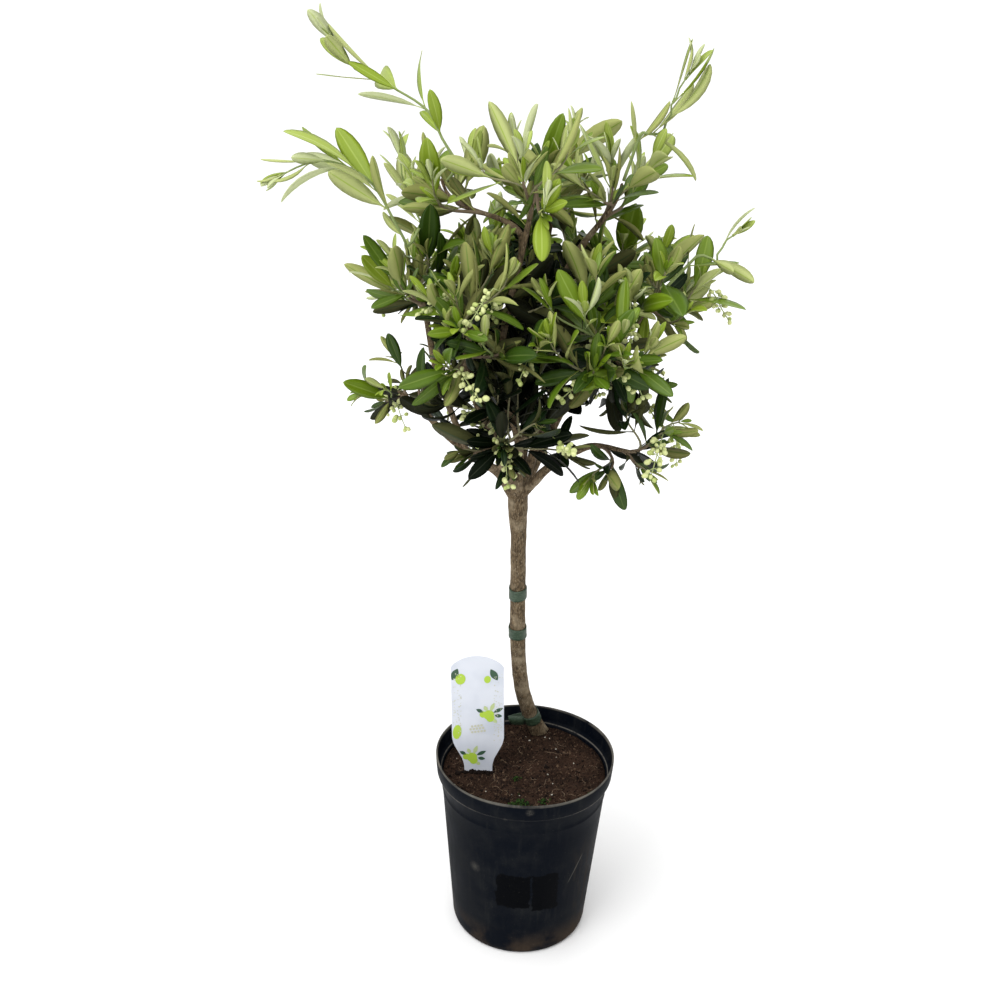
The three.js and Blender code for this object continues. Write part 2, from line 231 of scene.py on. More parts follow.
@dataclass(frozen=True)
class PotPlastic:
    """Thin black nursery plastic with dust, water marks, worn edges and fine scuffs; a brown painted
    reflection of the ground low down, and a pale line at the band's foot that is partly dust and partly
    painted highlight.
    """

    base: Colour = (0.0022, 0.0034, 0.0062)
    dust: Colour = (0.0135, 0.0145, 0.0155)
    # pale wear, also used for the painted highlight on the band's foot
    wear: Colour = (0.15, 0.14, 0.12)
    # brown painted reflection of the ground, low on the pot
    splash: Colour = (0.05, 0.034, 0.022)
    bare: Colour = (0.0004, 0.0006, 0.0012)
    lip: float = 211 * MM
    band_foot: float = 192.5 * MM
    # height up to which the ground's painted reflection fades out
    foot_height: float = 40 * MM
    patches: tuple[tuple[float, float, float, float], ...] = (
        (-8 * MM, 90 * MM, 17 * MM, 22 * MM), (25 * MM, 88 * MM, 13 * MM, 24 * MM))
    smudges: tuple[tuple[float, float, float, float], ...] = (
        (-51 * MM, -68 * MM, 111 * MM, 9 * MM), (5 * MM, -95 * MM, 204 * MM, 6 * MM),
        (-20 * MM, -91 * MM, 191 * MM, 4 * MM))
    scratch: tuple[float, float, float] = (49 * MM, 90 * MM, 38 * MM)

    def _patch(self, where: dict[str, Shade], wobble: Shade, patch: Sequence[float]) -> Shade:
        """A clean patch on the front where a sticker has come off."""
        x, z, half_wide, half_tall = patch
        wide = (where["X"] - x).size() + wobble
        tall = (where["Z"] - z).size() + wobble
        across = 1 - wide.ramp(half_wide, half_wide + 1 * MM)
        inside = across * (1 - tall.ramp(half_tall, half_tall + 1 * MM))
        return inside * (1 - where["Y"].ramp(-0.02, 0.0))

    def _scratch(self, where: dict[str, Shade]) -> Shade:
        """A thin slanting scratch low on the front."""
        x, z, length = self.scratch
        slope = math.radians(65)
        right, up = where["X"] - x, where["Z"] - z
        along = right * math.cos(slope) + up * math.sin(slope)
        aside = (right * math.sin(slope) - up * math.cos(slope)).size()
        ends = along.ramp(0.0, 6 * MM) * (1 - along.ramp(length - 8 * MM, length))
        return (1 - aside.ramp(0.2 * MM, 1.1 * MM)) * ends * (1 - where["Y"].ramp(-0.02, 0.0))

    def make(self) -> bpy.types.Material:
        """Builds the material."""
        book = NodeBook("pot_plastic_scuffed")
        place = book.place()
        drawn = book.place((1.0, 1.0, 0.12))
        where = {axis: book.node("ShaderNodeSeparateXYZ", {}, {"Vector": place}, output=axis)
                 for axis in "XYZ"}
        cloud = book.noise(place, 24.0, 5.0, 0.62)
        streak = book.noise(drawn, 150.0, 3.0, 0.6)
        speck = book.noise(place, 700.0, 2.0, 0.5)
        film = cloud.ramp(0.4, 0.75) * 0.6 + streak.ramp(0.48, 0.8) * 0.5
        lip = where["Z"].ramp(self.lip - 2.5 * MM, self.lip - 0.6 * MM) * cloud.ramp(0.25, 0.6)
        # pale line at the band's foot: partly dust on the ledge, partly painted highlight on its edge
        line = 1 - (where["Z"] - self.band_foot).size().ramp(0.25 * MM, 0.8 * MM)
        # painted reflection: the ground's brown painted round the foot, fading out upwards
        foot = (1 - where["Z"].ramp(0.0, self.foot_height)) * cloud.ramp(0.38, 0.62)
        scuff = self._scratch(where) * streak.ramp(0.3, 0.6)
        for *spot, reach in self.smudges:
            gap = book.node("ShaderNodeVectorMath", {"operation": "DISTANCE"}, [place, spot], output="Value")
            scuff = scuff + (1 - gap.ramp(0.0, reach)) * speck.ramp(0.2, 0.7)
        # painted reflection: more of the ground's brown, streaked, low on the right side
        side = where["X"].ramp(0.045, 0.07) * streak.ramp(0.5, 0.62) * (1 - where["Z"].ramp(0.11, 0.16))
        colour = book.blend(film, self.base, self.dust)
        colour = book.blend(foot * 0.7 + side * 0.2, colour, self.splash)
        for patch in self.patches:
            wobble = (book.noise(place, 130.0, 3.0, 0.6) - 0.5) * 9 * MM + (cloud - 0.5) * 6 * MM
            colour = book.blend(self._patch(where, wobble, patch) * 0.92, colour, self.bare)
        # pale marks: wear on the lip, scuffs and specks, and the band-foot line that is partly painted
        # highlight
        worn = lip * 0.7 + line * streak.ramp(0.25, 0.5) * 0.6 + scuff * 0.35 + speck.ramp(0.7, 0.76) * 0.16
        book.set(Base_Color=book.blend(worn, colour, self.wear), Roughness=0.45 + film * 0.3,
                 Specular_IOR_Level=0.02)
        book.bump(streak * 0.5 + cloud * 0.8 + speck * 0.15, 0.28, 0.0005)
        return book.material


@dataclass(frozen=True)
class PottingSoil:
    """Moist dark peat, browner where it has dried."""

    damp: Colour = (0.007, 0.0035, 0.002)
    dry: Colour = (0.05, 0.026, 0.016)

    def make(self) -> bpy.types.Material:
        """Builds the material."""
        book = NodeBook("potting_soil_damp")
        where = book.place()
        patch = book.noise(where, 45.0, 5.0, 0.65)
        grain = book.noise(where, 520.0, 4.0, 0.7)
        tone = patch.ramp(0.35, 0.7) * 0.45 + grain.ramp(0.4, 0.75) * 0.6
        book.set(Base_Color=book.blend(tone, self.damp, self.dry), Roughness=0.93, Specular_IOR_Level=0.1)
        book.bump(grain + patch * 0.4, 0.9, 0.0012)
        return book.material


@dataclass(frozen=True)
class Bark:
    """Young olive bark: grey-brown, finely streaked, with pale pores and dark hollows."""

    dark: Colour = (0.034, 0.023, 0.012)
    mid: Colour = (0.142, 0.1, 0.056)
    pale: Colour = (0.35, 0.285, 0.19)

    def make(self) -> bpy.types.Material:
        """Builds the material."""
        book = NodeBook("bark_young_olive")
        where = book.place()
        drawn = book.place((1.0, 1.0, 0.32))
        cloud = book.noise(where, 60.0, 4.0, 0.6)
        streak = book.noise(drawn, 620.0, 4.0, 0.65)
        pores = book.node("ShaderNodeTexVoronoi", {"feature": "F1"},
                          {"Vector": drawn, "Scale": 520.0, "Randomness": 1.0})
        pore = 1 - pores.ramp(0.12, 0.3)
        tone = book.blend(streak.ramp(0.32, 0.66), self.dark, self.mid)
        weathered = book.blend(cloud.ramp(0.45, 0.75) * 0.55, tone, self.pale)
        book.set(Base_Color=book.blend(pore * 0.55, weathered, self.pale), Roughness=0.85,
                 Specular_IOR_Level=0.2)
        book.bump(streak + pore * 0.5, 0.55, 0.0005)
        return book.material


@dataclass(frozen=True)
class TieTape:
    """Green stretch tape, matt, with lengthwise pull marks."""

    base: Colour = (0.017, 0.038, 0.018)
    worn: Colour = (0.05, 0.082, 0.047)

    def make(self) -> bpy.types.Material:
        """Builds the material."""
        book = NodeBook("tie_tape_green")
        where = book.place((1.0, 1.0, 3.0))
        pull = book.noise(where, 340.0, 3.0, 0.6)
        book.set(Base_Color=book.blend(pull.ramp(0.4, 0.7), self.base, self.worn), Roughness=0.55)
        book.bump(pull, 0.4, 0.0004)
        return book.material


@dataclass(frozen=True)
class TagCard:
    """White plastic plant tag with a faint satin unevenness."""

    base: Colour = (0.585, 0.612, 0.67)
    shade: Colour = (0.48, 0.515, 0.585)

    def make(self) -> bpy.types.Material:
        """Builds the material."""
        book = NodeBook("tag_white_plastic")
        where = book.place()
        cloud = book.noise(where, 30.0, 2.0, 0.5)
        book.set(Base_Color=book.blend(cloud.ramp(0.4, 0.8), self.base, self.shade),
                 Roughness=0.32 + cloud * 0.12)
        return book.material


@dataclass(frozen=True)
class StudioFloor:
    """Plain pale floor."""

    colour: Colour = (0.8, 0.8, 0.8)

    def make(self) -> bpy.types.Material:
        """Builds the material."""
        return NodeBook("floor_pale").set(Base_Color=self.colour, Roughness=0.9).material


# ---------------------------------------------------------------------------
# meshes
# ---------------------------------------------------------------------------

def publish(name: str, mesh: bpy.types.Mesh, materials: Sequence[bpy.types.Material],
            nodes: Iterable[str] = (), smooth: bool = True) -> bpy.types.Object:
    """Makes a finished piece of the tree.

    Args:
        name: the piece's name.
        mesh: its mesh, already in place.
        materials: its material slots in order.
        nodes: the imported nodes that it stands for.
        smooth: whether its faces are shaded smooth.

    Returns:
        The object, riding on the tree's one body.
    """
    mesh.name = name
    for material in materials:
        mesh.materials.append(material)
    if smooth:
        mesh.shade_smooth()
    piece = bpy.data.objects.new(name, mesh)
    bpy.context.scene.collection.objects.link(piece)
    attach(piece, BODY)
    if nodes:
        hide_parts(*nodes)
    LOG.info("%s: %d faces", name, len(mesh.polygons))
    return piece


@dataclass
class Heap:
    """Small things of one kind, gathered as arrays and joined into one mesh."""

    points: list[np.ndarray] = field(default_factory=list)
    loops: list[np.ndarray] = field(default_factory=list)
    sizes: list[np.ndarray] = field(default_factory=list)
    slots: list[np.ndarray] = field(default_factory=list)
    count: int = 0

    def add(self, points: np.ndarray, faces: np.ndarray, slots: np.ndarray | int) -> None:
        """Adds points and faces of one size.

        Args:
            points: n by 3 points in metres.
            faces: m by k point numbers, counted from the first of these points.
            slots: the faces' material slots, or one for all.
        """
        self.points.append(points)
        self.loops.append((faces + self.count).ravel())
        self.sizes.append(np.full(len(faces), faces.shape[1]))
        self.slots.append(np.broadcast_to(slots, len(faces)).astype(np.int32))
        self.count += len(points)

    def more_faces(self, faces: np.ndarray, slots: np.ndarray | int, behind: int) -> None:
        """Adds faces on points already added, counted from behind points before the end."""
        self.loops.append((faces + self.count - behind).ravel())
        self.sizes.append(np.full(len(faces), faces.shape[1]))
        self.slots.append(np.broadcast_to(slots, len(faces)).astype(np.int32))

    def add_tube(self, line: "Line", sides: int, slot: int) -> None:
        """Adds a tube along a course, closed at both ends.

        Args:
            line: the course and its radii.
            sides: how many sides the tube has.
            slot: the material slot of its faces.
        """
        _, across, aside = line.frames()
        turn = np.linspace(0, 2 * math.pi, sides, endpoint=False)
        rim = np.cos(turn)[None, :, None] * across[:, None] + np.sin(turn)[None, :, None] * aside[:, None]
        points = (line.points[:, None] + rim * line.radii[:, None, None]).reshape(-1, 3)
        cap = np.arange(sides)[None]
        self.add(points, tube_faces(len(line.points), sides), slot)
        self.more_faces(cap[:, ::-1], slot, len(points))
        self.more_faces(len(points) - sides + cap, slot, len(points))

    def mesh(self) -> bpy.types.Mesh:
        """Joins everything into one mesh."""
        mesh = bpy.data.meshes.new("heap")
        points = np.concatenate(self.points).astype(np.float32)
        loops = np.concatenate(self.loops).astype(np.int32)
        sizes = np.concatenate(self.sizes).astype(np.int32)
        mesh.vertices.add(len(points))
        mesh.vertices.foreach_set("co", points.ravel())
        mesh.loops.add(len(loops))
        mesh.loops.foreach_set("vertex_index", loops)
        mesh.polygons.add(len(sizes))
        starts = np.concatenate([[0], np.cumsum(sizes)[:-1]]).astype(np.int32)
        mesh.polygons.foreach_set("loop_start", starts)
        mesh.polygons.foreach_set("material_index", np.concatenate(self.slots))
        mesh.update(calc_edges=True)
        mesh.validate()
        return mesh


def unit(vector: np.ndarray) -> np.ndarray:
    """A vector, or a stack of vectors, at length one."""
    length = np.linalg.norm(vector, axis=-1, keepdims=True)
    return vector / np.maximum(length, 1e-12)


def tube_faces(rings: int, sides: int) -> np.ndarray:
    """Quads of a tube of rings of points, outwards when the rings turn left about its run."""
    ring, side = np.meshgrid(np.arange(rings - 1), np.arange(sides), indexing="ij")
    here = ring * sides + side
    beside = ring * sides + (side + 1) % sides
    return np.stack([here, beside, beside + sides, here + sides], axis=-1).reshape(-1, 4)


def node_arrays(node: str) -> tuple[np.ndarray, np.ndarray]:
    """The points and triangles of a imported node."""
    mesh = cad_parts[node].data
    mesh.calc_loop_triangles()
    points = np.zeros(len(mesh.vertices) * 3, np.float32)
    mesh.vertices.foreach_get("co", points)
    corners = np.zeros(len(mesh.loop_triangles) * 3, np.int32)
    mesh.loop_triangles.foreach_get("vertices", corners)
    return points.reshape(-1, 3).astype(float), corners.reshape(-1, 3)


# ---------------------------------------------------------------------------
# lines that limbs, twigs and shoots follow
# ---------------------------------------------------------------------------

@dataclass
class Line:
    """A limb's course: points from foot to tip, and the limb's radius at each."""

    points: np.ndarray
    radii: np.ndarray

    @classmethod
    def of_node(cls, node: str, foot: np.ndarray, slices: int = 14) -> "Line":
        """Reads a limb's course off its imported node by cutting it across.

        Args:
            node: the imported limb.
            foot: a point near the end that the limb grows from.
            slices: the number of cuts.

        Returns:
            The course from the foot to the far end.
        """
        points, triangles = node_arrays(node)
        tip = points[np.argmax(np.linalg.norm(points - foot, axis=1))]
        base = points[np.argmin(np.linalg.norm(points - foot, axis=1))]
        run = unit(tip - base)
        height = points @ run
        edges = np.concatenate([triangles[:, [0, 1]], triangles[:, [1, 2]], triangles[:, [2, 0]]])
        low, high = height.min(), height.max()
        centres, radii = [], []
        for share in np.linspace(0.05, 0.95, slices):
            level = low + (high - low) * share
            first, second = height[edges[:, 0]], height[edges[:, 1]]
            cut = (first - level) * (second - level) < 0
            along = ((level - first) / (second - first + 1e-15))[cut][:, None]
            where = points[edges[cut, 0]] * (1 - along) + points[edges[cut, 1]] * along
            centres.append(where.mean(axis=0))
            radii.append(np.linalg.norm(where - centres[-1], axis=1).mean())
        centres = np.array(centres)
        step = 0.06 / (0.9 / (slices - 1))
        first = centres[0] + (centres[0] - centres[1]) * step
        last = centres[-1] + (centres[-1] - centres[-2]) * step
        return cls(np.vstack([first, centres, last]), np.array([radii[0], *radii, radii[-1]]))

    def at(self, share: float | np.ndarray) -> np.ndarray:
        """The point at a share of the course's length."""
        gaps = np.linalg.norm(np.diff(self.points, axis=0), axis=1)
        stations = np.concatenate([[0], np.cumsum(gaps)]) / gaps.sum()
        return np.stack([np.interp(share, stations, self.points[:, k]) for k in range(3)], axis=-1)

    def radius_at(self, share: float | np.ndarray) -> np.ndarray:
        """The radius at a share of the course's length."""
        gaps = np.linalg.norm(np.diff(self.points, axis=0), axis=1)
        stations = np.concatenate([[0], np.cumsum(gaps)]) / gaps.sum()
        return np.interp(share, stations, self.radii)

    def length(self) -> float:
        """The course's length."""
        return float(np.linalg.norm(np.diff(self.points, axis=0), axis=1).sum())

    def heading(self, share: float) -> np.ndarray:
        """The unit direction of growth at a share of the course's length."""
        return unit(self.at(min(1.0, share + 0.03)) - self.at(max(0.0, share - 0.03)))

    def even(self, spacing: float) -> "Line":
        """The same course smoothed through its points, with evenly spaced stations."""
        p = np.vstack([2 * self.points[0] - self.points[1], self.points,
                       2 * self.points[-1] - self.points[-2]])
        pieces, radii = [], []
        for i in range(1, len(p) - 2):
            t = np.linspace(0, 1, 8, endpoint=False)[:, None]
            pieces.append(0.5 * (2 * p[i] + (p[i + 1] - p[i - 1]) * t
                                 + (2 * p[i - 1] - 5 * p[i] + 4 * p[i + 1] - p[i + 2]) * t ** 2
                                 + (3 * p[i] - p[i - 1] - 3 * p[i + 1] + p[i + 2]) * t ** 3))
            radii.append(self.radii[i - 1] + (self.radii[i] - self.radii[i - 1]) * t[:, 0])
        fine = Line(np.vstack([*pieces, self.points[-1:]]), np.append(np.concatenate(radii), self.radii[-1]))
        shares = np.linspace(0, 1, max(3, int(round(fine.length() / spacing)) + 1))
        return Line(fine.at(shares), fine.radius_at(shares))

    def frames(self) -> tuple[np.ndarray, np.ndarray, np.ndarray]:
        """Directions along and two across at every station, turned as little as possible."""
        along = unit(np.gradient(self.points, axis=0))
        across = np.zeros_like(along)
        start = np.cross(along[0], UP)
        across[0] = unit(start if np.linalg.norm(start) > 1e-3 else np.cross(along[0], [1.0, 0, 0]))
        for i in range(1, len(along)):
            across[i] = unit(across[i - 1] - along[i] * (across[i - 1] @ along[i]))
        return along, across, np.cross(along, across)


def arc_line(start: np.ndarray, leave: np.ndarray, end: np.ndarray, arrive: np.ndarray,
             thick: float, thin: float, stations: int = 9) -> Line:
    """A smoothly bent course between two points.

    Args:
        start: where it begins.
        leave: the unit direction in which it leaves.
        end: where it ends.
        arrive: the unit direction in which it arrives.
        thick: radius at the start.
        thin: radius at the end.
        stations: how many points it has.

    Returns:
        The course.
    """
    span = np.linalg.norm(end - start)
    t = np.linspace(0, 1, stations)[:, None]
    a, b = start + leave * span * 0.38, end - arrive * span * 0.38
    points = (1 - t) ** 3 * start + 3 * t * (1 - t) ** 2 * a + 3 * t ** 2 * (1 - t) * b + t ** 3 * end
    return Line(points, thick + (thin - thick) * t[:, 0])


# ---------------------------------------------------------------------------
# trunk and boughs
# ---------------------------------------------------------------------------

@dataclass
class Timber:
    """The stem and its boughs, skinned as one living piece and given their bark."""

    voxel: float = 1.05 * MM
    stem_sides: int = 28
    sides: int = 14
    spacing: float = 5 * MM
    flare_height: float = 26 * MM
    relief: float = 0.32 * MM
    trunk: Line = field(init=False)
    boughs: dict[str, Line] = field(init=False)

    def __post_init__(self) -> None:
        """Reads the limbs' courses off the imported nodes."""
        low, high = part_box("trunk")
        ground = np.array([high.x, high.y, low.z])
        self.trunk = Line.of_node("trunk", ground, 18)
        self.fork = self.trunk.points[-1]
        self.boughs = {}
        for node in sorted(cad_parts):
            if node.startswith("bough_"):
                self.boughs[node] = Line.of_node(node, self.fork, 8)

    def limb_of_mass(self, centre: np.ndarray) -> Line:
        """The bough whose end points best into a mass with this centre."""
        def miss(line: Line) -> float:
            """How far the bough's end is from the centre, counting its heading."""
            return float(np.linalg.norm(line.points[-1] + line.heading(1.0) * 30 * MM - centre))
        return min(self.boughs.values(), key=miss)

    @staticmethod
    def _stances(line: Line) -> list[Matrix]:
        """A stance for a unit ring at every station: square to the course and as wide as the limb."""
        stances = []
        for place, radius, *axes in zip(line.points, line.radii, *line.frames()):
            along, across, aside = (Vector(axis) * float(radius) for axis in axes)
            stances.append(Matrix.Translation(place) @ Matrix((across, aside, along)).transposed().to_4x4())
        return stances

    def _skin(self, shape: bmesh.types.BMesh, line: Line, sides: int) -> None:
        """Extrudes a disc along a course and closes the far end."""
        stances = self._stances(line)
        ring = bmesh.ops.create_circle(shape, cap_ends=True, radius=1.0, segments=sides,
                                       matrix=stances[0])["verts"]
        edges = list({edge for vert in ring for edge in vert.link_edges})
        for before, after in zip(stances, stances[1:]):
            grown = bmesh.ops.extrude_edge_only(shape, edges=edges)["geom"]
            ring = {part for part in grown if isinstance(part, bmesh.types.BMVert)}
            edges = [part for part in grown
                     if isinstance(part, bmesh.types.BMEdge) and ring.issuperset(part.verts)]
            bmesh.ops.transform(shape, matrix=after @ before.inverted(), verts=list(ring))
        bmesh.ops.contextual_create(shape, geom=edges)

    def build(self, extra: Sequence[Line]) -> bpy.types.Object:
        """Makes the stem and boughs.

        Args:
            extra: courses inside the foliage that carry the boughs on.

        Returns:
            The one piece that stands for trunk and boughs.
        """
        shape = bmesh.new()
        self._skin(shape, self.trunk.even(self.spacing), self.stem_sides)
        for line in self.boughs.values():
            root = line.points[0] + unit(line.points[0] - line.points[1]) * 7 * MM
            whole = Line(np.vstack([root, line.points]), np.append(line.radii[0] * 1.25, line.radii))
            self._skin(shape, whole.even(self.spacing), self.sides)
        for line in extra:
            self._skin(shape, line.even(self.spacing), 10)
        bmesh.ops.recalc_face_normals(shape, faces=shape.faces)
        raw = bpy.data.meshes.new("timber_raw")
        shape.to_mesh(raw)
        shape.free()
        return self._finish(raw)

    def _finish(self, raw: bpy.types.Mesh) -> bpy.types.Object:
        """Grows the tubes together, softens the crotches and raises the bark."""
        rough = bpy.data.objects.new("timber_rough", raw)
        bpy.context.scene.collection.objects.link(rough)
        knit = rough.modifiers.new("knit", "REMESH")
        knit.mode = "VOXEL"
        knit.voxel_size = self.voxel
        knit.use_smooth_shade = True
        graph = bpy.context.evaluated_depsgraph_get()
        mesh = bpy.data.meshes.new_from_object(rough.evaluated_get(graph))
        bpy.data.objects.remove(rough)
        shape = bmesh.new()
        shape.from_mesh(mesh)
        for _ in range(4):
            bmesh.ops.smooth_vert(shape, verts=shape.verts, factor=0.5,
                                  use_axis_x=True, use_axis_y=True, use_axis_z=True)
        shape.normal_update()
        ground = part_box("trunk")[0].z
        fork = self.fork[2]
        for vert in shape.verts:
            vert.co += vert.normal * self._relief(vert.co, ground, fork)
        for vert in shape.verts:
            vert.co.z = max(vert.co.z, ground)
        shape.to_mesh(mesh)
        shape.free()
        return publish("trunk_and_boughs", mesh, [Bark().make()],
                       ["trunk", *self.boughs])

    def _relief(self, place: Vector, ground: float, fork: float) -> float:
        """How far the bark stands out at a place: streaks, knobs and the flared root."""
        streak = noise.noise(Vector((place.x * 520, place.y * 520, place.z * 120)))
        knob = noise.noise(place * 95)
        lift = self.relief * (0.9 * streak + 0.8 * knob)
        if place.z > fork + 20 * MM:
            return lift * 0.45 + 0.2 * MM
        above = (place.z - ground) / self.flare_height
        if above < 1:
            turn = math.atan2(place.y - self.trunk.points[0][1], place.x - self.trunk.points[0][0])
            lobes = 0.6 + 0.5 * math.sin(3 * turn + 0.7) + 0.3 * math.sin(5 * turn)
            lift += 1.5 * MM * (1 - above) ** 2 * lobes
        return lift + 0.25 * MM


# ---------------------------------------------------------------------------
# leaves
# ---------------------------------------------------------------------------

@dataclass(frozen=True)
class LeafTint:
    """The three plain colours of one leaf tint; tints run dark to light with leaf youth, with painted shade
    deep in the crown and painted light high on it.
    """

    name: str
    upper: Colour
    rib: Colour
    under: Colour
    shine: float

    def finishes(self) -> list[PlainFinish]:
        """Upper side, midrib and underside."""
        return [PlainFinish(f"leaf_{self.name}_upper", self.upper, 0.42, self.shine),
                PlainFinish(f"leaf_{self.name}_rib", self.rib, 0.5, 0.25),
                PlainFinish(f"leaf_{self.name}_under", self.under, 0.7, 0.15)]


# Tints from darkest to lightest: the dark end, inner above all, is painted shade for leaves deep in the
# crown; the light end is young leaves, also dealt out as painted light high on the crown.
TINTS = (
    LeafTint("inner", (0.002, 0.005, 0.0015), (0.007, 0.011, 0.003), (0.012, 0.014, 0.004), 0.06),
    LeafTint("old", (0.006, 0.017, 0.0035), (0.02, 0.035, 0.008), (0.05, 0.053, 0.016), 0.12),
    LeafTint("mature", (0.026, 0.058, 0.0035), (0.065, 0.105, 0.018), (0.135, 0.14, 0.043), 0.25),
    LeafTint("summer", (0.07, 0.128, 0.005), (0.13, 0.195, 0.03), (0.235, 0.25, 0.074), 0.3),
    LeafTint("fresh", (0.13, 0.208, 0.007), (0.2, 0.285, 0.042), (0.335, 0.365, 0.12), 0.35),
    LeafTint("young", (0.215, 0.3, 0.02), (0.3, 0.39, 0.07), (0.4, 0.445, 0.17), 0.35),
    LeafTint("tip", (0.31, 0.39, 0.075), (0.41, 0.49, 0.15), (0.5, 0.55, 0.3), 0.3),
)


class LeafShape:
    """The blade all leaves share: a flattened tube of eight sides, pointed at its tip."""

    STATIONS = np.array([0, 0.05, 0.12, 0.22, 0.35, 0.5, 0.65, 0.79, 0.9, 0.965])
    ACROSS = np.array([-1, -0.5, -0.075, 0.075, 0.5, 1, 0.075, -0.075])
    SKIN = np.array([0, 1, 1, 1, 1, 0, -1.5, -1.5])
    PARTS = np.array([0, 0, 1, 0, 0, 2, 1, 2])
    STALK = 0.09

    @classmethod
    def width(cls, share: np.ndarray) -> np.ndarray:
        """Half width, as a share of the widest, at shares of the length."""
        blade = np.clip((share - cls.STALK) / (1 - cls.STALK), 0, 1)
        outline = blade ** 0.9 * (1 - blade) ** 0.66
        return np.maximum(outline / 0.3464, 0.07)


@dataclass
class Leaf:
    """One leaf: where it grows and how its blade lies."""

    base: np.ndarray
    axis: np.ndarray
    face: np.ndarray
    length: float
    width: float
    fold: float
    bend: float
    twist: float
    tint: int


@dataclass
class LeafHeap:
    """The leaves of one mass, turned into one mesh in a single sweep."""

    leaves: list[Leaf] = field(default_factory=list)

    def _take(self, key: str) -> np.ndarray:
        """One number or vector of every leaf, in a row."""
        return np.array([getattr(leaf, key) for leaf in self.leaves])

    def mesh(self) -> bpy.types.Mesh:
        """Bends every blade from its numbers and joins them all."""
        base, axis, face = self._take("base"), self._take("axis"), self._take("face")
        length, width, fold = self._take("length"), self._take("width"), self._take("fold")
        bend, twist, tint = self._take("bend"), self._take("twist"), self._take("tint")
        face = unit(face - axis * (face * axis).sum(-1, keepdims=True))
        side = np.cross(axis, face)
        heap = Heap()
        rings, tips = self._rings(base, axis, face, side, length, width, fold, bend, twist)
        count, stations, sides = rings.shape[:3]
        quads = tube_faces(stations, sides)
        parts = np.tile(LeafShape.PARTS, stations - 1)
        last = (stations - 1) * sides
        per_leaf = stations * sides + 1
        caps = np.stack([last + np.arange(sides), last + (np.arange(sides) + 1) % sides,
                         np.full(sides, stations * sides)], axis=-1)
        points = np.concatenate([rings.reshape(count, -1, 3), tips[:, None]], axis=1).reshape(-1, 3)
        start = (np.arange(count) * per_leaf)[:, None, None]
        slots = (tint[:, None] * 3 + parts[None]).ravel()
        heap.add(points, (quads[None] + start).reshape(-1, 4), slots)
        heap.more_faces((caps[None] + start).reshape(-1, 3),
                        (tint[:, None] * 3 + LeafShape.PARTS[None]).ravel(), len(points))
        foot = np.arange(sides)[::-1][None, None]
        heap.more_faces((foot + start).reshape(-1, sides), (tint * 3 + 1), len(points))
        return heap.mesh()

    @staticmethod
    def _rings(base: np.ndarray, axis: np.ndarray, face: np.ndarray, side: np.ndarray,
               length: np.ndarray, width: np.ndarray, fold: np.ndarray, bend: np.ndarray,
               twist: np.ndarray) -> tuple[np.ndarray, np.ndarray]:
        """The cross-sections of every blade and its tip point.

        Returns:
            Points by leaf, station and side, and the tips by leaf.
        """
        shares = np.append(LeafShape.STATIONS, 1.0)
        lean = bend[:, None] * shares ** 1.3
        step = np.diff(shares, prepend=0.0)
        forward = np.cumsum(np.cos(lean) * step, axis=1) * length[:, None]
        back = np.cumsum(np.sin(lean) * step, axis=1) * length[:, None]
        spine = base[:, None] + forward[..., None] * axis[:, None] - back[..., None] * face[:, None]
        lifted = np.cos(lean)[..., None] * face[:, None] + np.sin(lean)[..., None] * axis[:, None]
        roll = (twist[:, None] * shares)[..., None]
        flat = np.cos(roll) * side[:, None] + np.sin(roll) * lifted
        lifted = np.cos(roll) * lifted - np.sin(roll) * side[:, None]
        half = LeafShape.width(shares)[None] * width[:, None] / 2
        across = LeafShape.ACROSS[None, None]
        slope = np.clip((shares - 0.05) / 0.2, 0, 1)[None] * fold[:, None]
        out = half[..., None] * across * np.cos(slope)[..., None]
        thick = (0.24 * MM + 0.35 * MM * np.exp(-shares * 9))[None, :, None]
        rise = half[..., None] * np.abs(across) * np.sin(slope)[..., None]
        rise = rise + LeafShape.SKIN[None, None] * thick * (1 - 0.35 * np.abs(across))
        rings = spine[:, :, None] + out[..., None] * flat[:, :, None] + rise[..., None] * lifted[:, :, None]
        return rings[:, :-1], spine[:, -1]


# ---------------------------------------------------------------------------
# the crown
# ---------------------------------------------------------------------------

class Zone(Enum):
    """Where in the crown a mass or shoot grows."""

    LOW = "low"
    MID = "mid"
    TOP = "top"
    LEADER = "leader"
    INNER = "inner"


@dataclass(frozen=True)
class Habit:
    """How growth behaves in one zone of the crown.

    Shoots and branches are counts for one mass, rise is how much growth turns upwards, leaf and gap are
    the length of a leaf and the spacing of pairs, slim is a leaf's width against its length, youth is how
    young the leaves are from 0 to 1, bloom the chance of a flower cluster at a pair, sag how far leaves
    hang, light how far they turn to the sky, rolled the share that show their underside, and spread their
    angle from the shoot in degrees.
    """

    shoots: int
    branches: int
    rise: float
    leaf: float
    slim: float
    gap: float
    youth: float
    bloom: float
    sag: float
    light: float
    rolled: float
    spread: float = 54


HABITS = {
    Zone.LOW: Habit(8, 3, 0.35, 38 * MM, 0.32, 15 * MM, 0.32, 0.2, 0.2, 0.2, 0.4),
    Zone.MID: Habit(12, 4, 1.2, 42 * MM, 0.31, 15 * MM, 0.57, 0.08, 0.0, 0.2, 0.25),
    Zone.TOP: Habit(6, 3, 1.7, 44 * MM, 0.29, 17 * MM, 0.51, 0.0, 0.0, 0.25, 0.1, 42),
    Zone.LEADER: Habit(1, 1, 1.0, 44 * MM, 0.28, 21 * MM, 0.38, 0.0, 0.0, 0.15, 0.2, 40),
    Zone.INNER: Habit(0, 0, 0.8, 42 * MM, 0.31, 14 * MM, 0.4, 0.0, 0.1, 0.3, 0.25),
}

